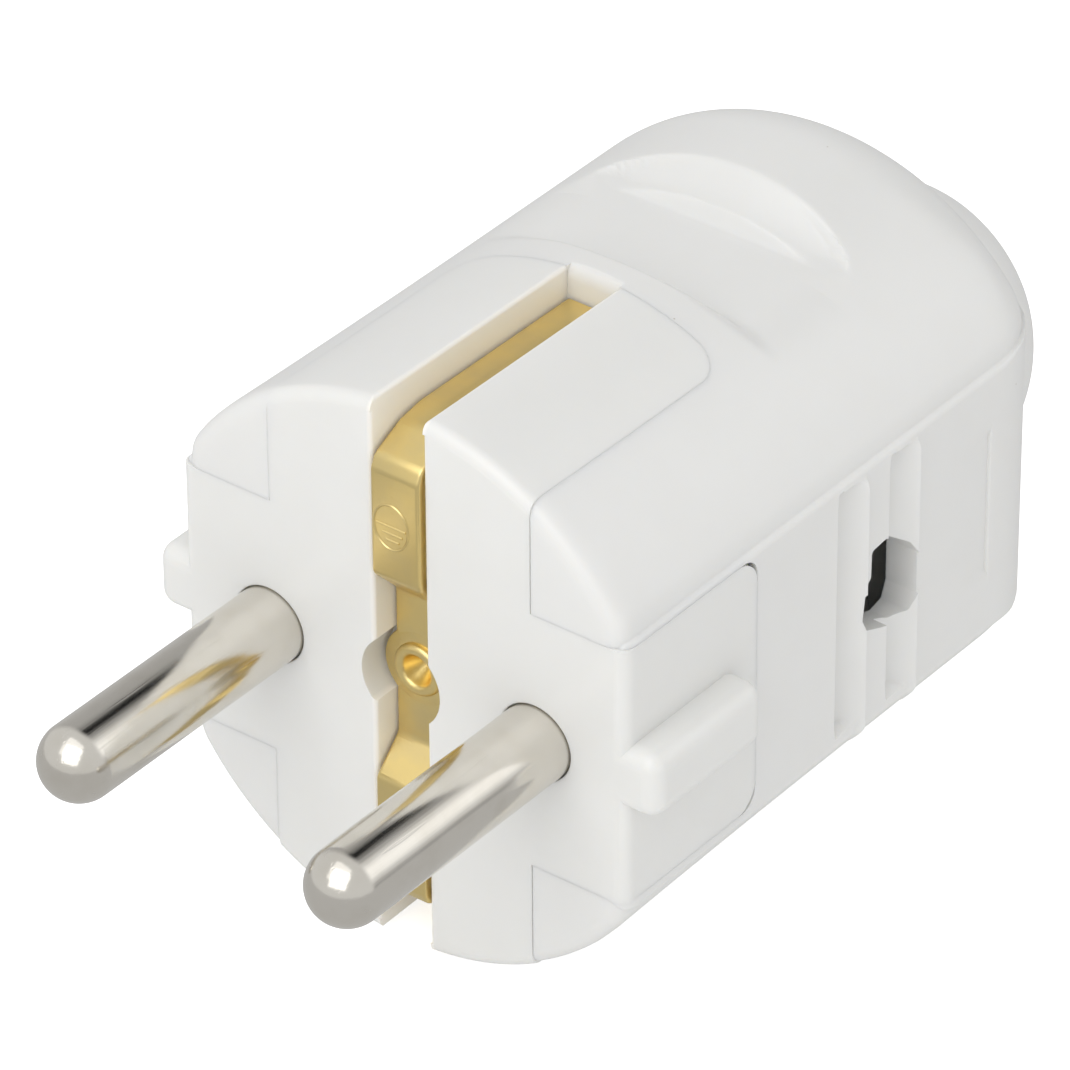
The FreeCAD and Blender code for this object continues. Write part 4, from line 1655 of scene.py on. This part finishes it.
    def build(self, finish: Material) -> Object:
        """The strip as one mesh with its round seat and rivet hole.

        Args:
            finish: Its material.

        Returns:
            The piece, riding on the plug.
        """
        piece = self.swept(finish)
        radius, front = self.disc
        rear, soft = front + self.thick, self.edge
        seat = [(0.0, front), (radius - soft, front), (radius - 0.3 * soft, front + 0.3 * soft)]
        seat += [(radius, front + soft), (radius, rear), (0.0, rear)]
        carve(piece, [new_object("seat", turned("seat", seat, 96))], "UNION")
        hole = [(0.0, -1.0), (self.hole, -1.0), (self.hole, 6.0), (0.0, 6.0)]
        carve(piece, [new_object("hole", turned("hole", hole, 64))])
        piece.data.materials.clear()
        piece.data.materials.append(finish)
        shade_panes(piece, 34.0)
        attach(piece, "root")
        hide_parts("earth_strip")
        LOG.info("earth_strip_shell: %d faces", len(piece.data.polygons))
        return piece


@dataclass(frozen=True)
class EarthMark:
    """Generic earth symbol struck into the strip: a ring round three bars."""

    centre: Pair = (-0.25, 10.54)
    size: Pair = (1.2, 1.46)
    line: float = 0.09
    height: float = 0.08
    level: float = -0.3
    sides: int = 72
    section: tuple[Pair, ...] = ((-1.0, 0.4), (-0.6, -0.5), (0.0, -0.9), (0.6, -0.5), (1.0, 0.4))
    bars: tuple[Point, ...] = (
        (-1.31, 0.78, 10.59), (-0.86, 0.54, 10.12), (-0.62, 0.3, 9.68))  # X, X and Z of each bar

    def build(self, finish: Material) -> Object:
        """The symbol as fine rounded ridges.

        Args:
            finish: Its material.

        Returns:
            The piece, riding on the plug.
        """
        ridge = [(side * self.line, self.level + rise * self.height) for side, rise in self.section]
        count = len(ridge)
        steps = [(k, (k + 1) % count) for k in range(count)]
        points: list[Point] = []
        for i in range(self.sides):
            turn = 2 * math.pi * i / self.sides
            points += [(self.centre[0] + (self.size[0] + out) * math.cos(turn), y,
                        self.centre[1] + (self.size[1] + out) * math.sin(turn)) for out, y in ridge]
        faces = []
        for i in range(self.sides):
            a, b = i * count, (i + 1) % self.sides * count
            faces += [(a + k, a + m, b + m, b + k) for k, m in steps]
        for low, high, z in self.bars:
            a = len(points)
            b = a + count
            points += [(x, y, z + out) for x in (low, high) for out, y in ridge]
            faces += [(a + k, a + m, b + m, b + k) for k, m in steps]
            faces += [tuple(range(a, b)), tuple(range(b + count - 1, b - 1, -1))]
        mesh = mesh_from("earth_mark", np.array(points), faces)
        outwards(mesh)
        shade(mesh, 50.0)
        piece = new_object("earth_mark", mesh)
        piece.data.materials.append(finish)
        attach(piece, "root")
        LOG.info("earth_mark: %d faces", len(piece.data.polygons))
        return piece


@dataclass(frozen=True)
class HollowRivet:
    """Tube with a rounded flange over a funnel in front and a rolled flange behind."""

    hole: float = 0.95
    throat: Pair = (0.36, 0.85)  # radius, depth past the seat
    shank: float = 1.2
    head: float = 1.68
    front: float = 1.3
    crown: float = 0.34
    seat: float = 1.72
    rear: float = 8.3
    rear_flange: float = 0.4

    def section(self) -> Outline:
        """Radius and Y of the wall, from the front flange to the rear one and back inside.

        Returns:
            The closed section.
        """
        middle = (self.hole + self.head) / 2
        half = (self.head - self.hole) / 2
        wall = []
        for i in range(9):
            turn = math.pi * i / 8
            wall.append((middle - half * math.cos(turn), self.front + self.crown * (1 - math.sin(turn))))
        rear, end = self.rear, self.rear + self.rear_flange
        wall += [(self.head, self.seat), (self.shank, self.seat), (self.shank, rear)]
        wall += [(self.head - 0.1, rear), (self.head, rear + 0.12), (self.head - 0.12, end)]
        wall += [(self.hole + 0.1, end), (self.hole, rear + 0.2), (self.hole, rear - 0.4)]
        narrow, deep = self.throat
        floor = self.seat + deep
        return wall + [(narrow, rear - 0.8), (narrow, floor), (narrow + 0.08, floor - 0.08)]

    def build(self, finish: Material) -> Object:
        """The rivet as one mesh.

        Args:
            finish: Its material.

        Returns:
            The piece, riding on the plug.
        """
        mesh = turned_tube("earth_rivet_shell", self.section(), 96)
        piece = new_object("earth_rivet_shell", mesh)
        piece.data.materials.append(finish)
        shade(mesh, 40.0)
        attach(piece, "root")
        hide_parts("earth_rivet")
        LOG.info("earth_rivet_shell: %d faces", len(piece.data.polygons))
        return piece


# Studio


@dataclass(frozen=True)
class PhotoCamera:
    """Camera solved from the photograph; offsets are millimetres in the view plane."""

    azimuth: float = 37.93779431
    elevation: float = 34.15428887
    roll: float = -0.37835069
    focal_px: float = 8157.88
    distance: float = 456.92667
    shift: Pair = (-7.524766, -8.282917)
    picture_px: float = 1070.0
    sensor: float = 36.0

    def build(self) -> Object:
        """Places the camera and makes it the scene's.

        Returns:
            The camera.
        """
        a, e, t = (math.radians(v) for v in (self.azimuth, self.elevation, self.roll))
        back = Vector((math.sin(a) * math.cos(e), -math.cos(a) * math.cos(e), math.sin(e)))
        level = Vector((math.cos(a), math.sin(a), 0.0))
        upright = back.cross(level)
        right = level * math.cos(t) + upright * math.sin(t)
        up = upright * math.cos(t) - level * math.sin(t)
        spot = back * self.distance - right * self.shift[0] - up * self.shift[1]
        data = bpy.data.cameras.new("photo_camera")
        data.sensor_width = self.sensor
        data.lens = self.focal_px / self.picture_px * self.sensor
        data.clip_start, data.clip_end = 0.01, 10.0
        camera = bpy.data.objects.new("photo_camera", data)
        turn = Matrix((right, up, back)).transposed().to_4x4()
        camera.matrix_world = Matrix.Translation(spot * MM) @ turn
        bpy.context.scene.collection.objects.link(camera)
        bpy.context.scene.camera = camera
        return camera


@dataclass(frozen=True)
class SoftBox:
    """Square lamp aimed at the plug."""

    name: str
    place: Point
    power: float
    size: float = 420.0
    aim: Point = (0.0, 12.0, 0.0)

    def build(self) -> Object:
        """Places the lamp.

        Returns:
            The lamp.
        """
        data = bpy.data.lights.new(self.name, "AREA")
        data.shape = "RECTANGLE"
        data.size = data.size_y = self.size * MM
        data.energy = self.power
        lamp = bpy.data.objects.new(self.name, data)
        lamp.location = Vector(self.place) * MM
        way = (Vector(self.aim) - Vector(self.place)) * MM
        lamp.rotation_mode = "QUATERNION"
        lamp.rotation_quaternion = way.to_track_quat("-Z", "Y")
        bpy.context.scene.collection.objects.link(lamp)
        return lamp


@dataclass(frozen=True)
class Studio:
    """White floor, pale surroundings and soft lamps."""

    floor_z: float = -18.6
    floor_half: float = 1500.0
    paper: Colour = (0.93, 0.93, 0.93)
    sky: Colour = (0.8, 0.8, 0.8)
    strength: float = 0.74
    mirrored_floor: float = 0.55
    lift: float = 0.11
    shown_lift: float = 0.5
    lamps: tuple[SoftBox, ...] = (
        SoftBox("key", (60.0, -330.0, 340.0), 0.60),
        SoftBox("overhead", (-20.0, -220.0, 400.0), 0.30),
    )
    brightest: float = 1.3
    band: tuple[Pair, ...] = (
        (-180.0, 0.55), (-163.0, 1.0), (-148.0, 1.1), (-124.0, 0.95), (-110.0, 0.75), (-96.0, 0.62),
        (-68.0, 0.55), (-40.0, 0.65), (-26.0, 0.58), (-15.0, 0.32), (-4.0, 0.30), (5.0, 0.45),
        (16.0, 0.8), (28.0, 1.2), (46.0, 1.3), (58.0, 1.0), (72.0, 0.55), (86.0, 0.22), (94.0, 0.0),
        (104.0, 0.0), (112.0, 0.26), (128.0, 0.45), (156.0, 0.48),
        (172.0, 0.52))  # angle round Y in degrees, and the strength there
    behind: Pair = (0.30, 0.5)  # Y of a direction, where the band starts to show and is full

    def split_for_camera(self, tree: NodeTree, lit: NodeSocket, shown: NodeSocket, out: NodeSocket) -> None:
        """Shows one shader to camera and glass rays, and the other to all other rays.

        Args:
            tree: Tree that gets the nodes.
            lit: Shader that lights the plug.
            shown: Shader that the camera sees.
            out: Where the result goes.
        """
        path = tree.nodes.new("ShaderNodeLightPath")
        seen = arithmetic(tree, "MAXIMUM", path.outputs["Is Camera Ray"], path.outputs["Is Transmission Ray"])
        mix = tree.nodes.new("ShaderNodeMixShader")
        tree.links.new(seen, mix.inputs[0])
        tree.links.new(lit, mix.inputs[1])
        tree.links.new(shown, mix.inputs[2])
        tree.links.new(mix.outputs[0], out)

    def surroundings(self, tree: NodeTree) -> NodeSocket:
        """Strength that mirror rays see: a bright window between dark frames behind the plug.

        Args:
            tree: The world's tree.

        Returns:
            The strength by direction.
        """
        place = tree.nodes.new("ShaderNodeTexCoord")
        split = tree.nodes.new("ShaderNodeSeparateXYZ")
        tree.links.new(place.outputs["Generated"], split.inputs[0])
        turn = arithmetic(tree, "ARCTAN2", split.outputs["Z"], split.outputs["X"])
        share = arithmetic(tree, "ADD", arithmetic(tree, "DIVIDE", turn, 2 * math.pi), 0.5)
        ramp = tree.nodes.new("ShaderNodeValToRGB")
        tree.links.new(share, ramp.inputs[0])
        while len(ramp.color_ramp.elements) < len(self.band):
            ramp.color_ramp.elements.new(0.5)
        for element, (angle, strength) in zip(ramp.color_ramp.elements, self.band):
            level = strength / self.brightest
            element.position = (angle + 180.0) / 360.0
            element.color = (level, level, level, 1.0)
        banded = arithmetic(tree, "MULTIPLY", ramp.outputs[0], self.brightest)
        behind = ramped(tree, split.outputs["Y"], *self.behind)
        ahead = arithmetic(tree, "SUBTRACT", 1.0, behind)
        plain = arithmetic(tree, "MULTIPLY", ahead, self.strength)
        return arithmetic(tree, "ADD", arithmetic(tree, "MULTIPLY", banded, behind), plain)

    def world(self) -> None:
        """Even light from all round, pale to the camera; mirror rays see the banded surroundings."""
        world = bpy.data.worlds.new("studio")
        bpy.context.scene.world = world
        world.use_nodes = True
        tree = world.node_tree
        lit = tree.nodes["Background"]
        lit.inputs["Color"].default_value = WHITE
        path = tree.nodes.new("ShaderNodeLightPath")
        mirror = path.outputs["Is Glossy Ray"]
        seen = arithmetic(tree, "MULTIPLY", self.surroundings(tree), mirror)
        others = arithmetic(tree, "SUBTRACT", 1.0, mirror)
        rest = arithmetic(tree, "MULTIPLY", others, self.strength)
        tree.links.new(arithmetic(tree, "ADD", seen, rest), lit.inputs["Strength"])
        shown = tree.nodes.new("ShaderNodeBackground")
        shown.inputs["Color"].default_value = (*self.sky, 1.0)
        out = tree.nodes["World Output"].inputs["Surface"]
        self.split_for_camera(tree, lit.outputs[0], shown.outputs[0], out)

    def glow(self, tree: NodeTree, strength: float) -> NodeSocket:
        """White glow.

        Args:
            tree: Tree that gets the node.
            strength: Strength of the glow.

        Returns:
            The glow's shader.
        """
        node = tree.nodes.new("ShaderNodeEmission")
        node.inputs["Color"].default_value = WHITE
        node.inputs["Strength"].default_value = strength
        return node.outputs[0]

    def floor_paper(self) -> Material:
        """Pale paper, lifted to white for the camera except in the plug's shadow.

        Returns:
            The material.
        """
        material = bpy.data.materials.new("floor_paper")
        material.use_nodes = True
        tree = material.node_tree
        shader = tree.nodes["Principled BSDF"]
        shader.inputs["Base Color"].default_value = (*self.paper, 1.0)
        shader.inputs["Roughness"].default_value = 0.8
        shader.inputs["Emission Color"].default_value = WHITE
        shader.inputs["Emission Strength"].default_value = self.lift
        shown = tree.nodes.new("ShaderNodeAddShader")
        tree.links.new(shader.outputs[0], shown.inputs[0])
        tree.links.new(self.glow(tree, self.shown_lift), shown.inputs[1])
        path = tree.nodes.new("ShaderNodeLightPath")
        lit = tree.nodes.new("ShaderNodeMixShader")
        tree.links.new(path.outputs["Is Glossy Ray"], lit.inputs[0])
        tree.links.new(shader.outputs[0], lit.inputs[1])
        tree.links.new(self.glow(tree, self.mirrored_floor), lit.inputs[2])
        out = tree.nodes["Material Output"].inputs["Surface"]
        self.split_for_camera(tree, lit.outputs[0], shown.outputs[0], out)
        return material

    def floor(self) -> Object:
        """Floor under the plug.

        Returns:
            The floor, marked as backdrop.
        """
        half, level = self.floor_half, self.floor_z
        square = [(x, y, level) for x, y in rectangle((-half, -half), (half, half))]
        piece = new_object("floor", mesh_from("floor", np.array(square), [(0, 1, 2, 3)]))
        piece.data.materials.append(self.floor_paper())
        piece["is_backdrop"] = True
        return piece

    def build(self) -> None:
        """Sets up the floor, the world, the lamps and the colour view."""
        self.world()
        self.floor()
        for lamp in self.lamps:
            lamp.build()
        bpy.context.scene.view_settings.view_transform = "Standard"


# The whole plug


@dataclass
class Plug:
    """All pieces of the plug with their finishes."""

    shelf: ShaderShelf = field(default_factory=ShaderShelf)
    white: MouldedPlastic = MouldedPlastic("white_plastic", (0.80, 0.80, 0.785), 0.34)
    insert: MouldedPlastic = MouldedPlastic("insert_plastic", (0.81, 0.81, 0.79), 0.32, niche=1.85)
    nickel: Metal = Metal("nickel_plate", (0.74, 0.71, 0.65), 0.15)
    brass: Metal = Metal("rolled_brass", (0.84, 0.66, 0.28), 0.32)
    zinc: Metal = Metal("zinc_steel", (0.62, 0.62, 0.60), 0.36)
    fibre: FibreSheet = FibreSheet("fibre_sheet", (0.42, 0.27, 0.15), 0.75)

    def dress(self) -> dict[Slot, Material]:
        """Gives every CAD node the material of its slot.

        Returns:
            The material of each slot.
        """
        looks = {
            Slot.HOOD: self.white.build(self.shelf),
            Slot.CARRIER: self.insert.build(self.shelf),
            Slot.NICKEL: self.nickel.build(self.shelf),
            Slot.BRASS: self.brass.build(self.shelf),
            Slot.SCREW: self.zinc.build(self.shelf),
            Slot.PLATE: self.fibre.build(self.shelf),
        }
        slots = {entry["node"]: entry["material_slot"] for entry in frame["record"]["subparts"]}
        for name, node in frame["nodes"].items():
            node.data.materials.clear()
            node.data.materials.append(looks[Slot(slots[name])])
            LOG.info("node %s wears %s", name, slots[name])
        return looks

    def build(self) -> None:
        """Dresses the CAD nodes and adds the fine pieces in order."""
        looks = self.dress()
        Hood().build(looks[Slot.HOOD])
        Carrier().build(looks[Slot.CARRIER])
        ContactPin("left", -9.5).build(looks[Slot.NICKEL])
        ContactPin("right", 9.5).build(looks[Slot.NICKEL])
        EarthStrip().build(looks[Slot.BRASS])
        EarthMark().build(looks[Slot.BRASS])
        HollowRivet().build(looks[Slot.BRASS])


def corners() -> list[list[float]]:
    """Lowest and highest corner of what shows, as plain lists."""
    return [[float(v) for v in corner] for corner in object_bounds()]


def main() -> None:
    """Builds the plug, then the camera and the studio."""
    logging.basicConfig(level=logging.INFO, format="%(name)s: %(message)s")
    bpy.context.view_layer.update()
    Plug().build()
    PhotoCamera().build()
    Studio().build()


if __name__ == "__main__":
    main()
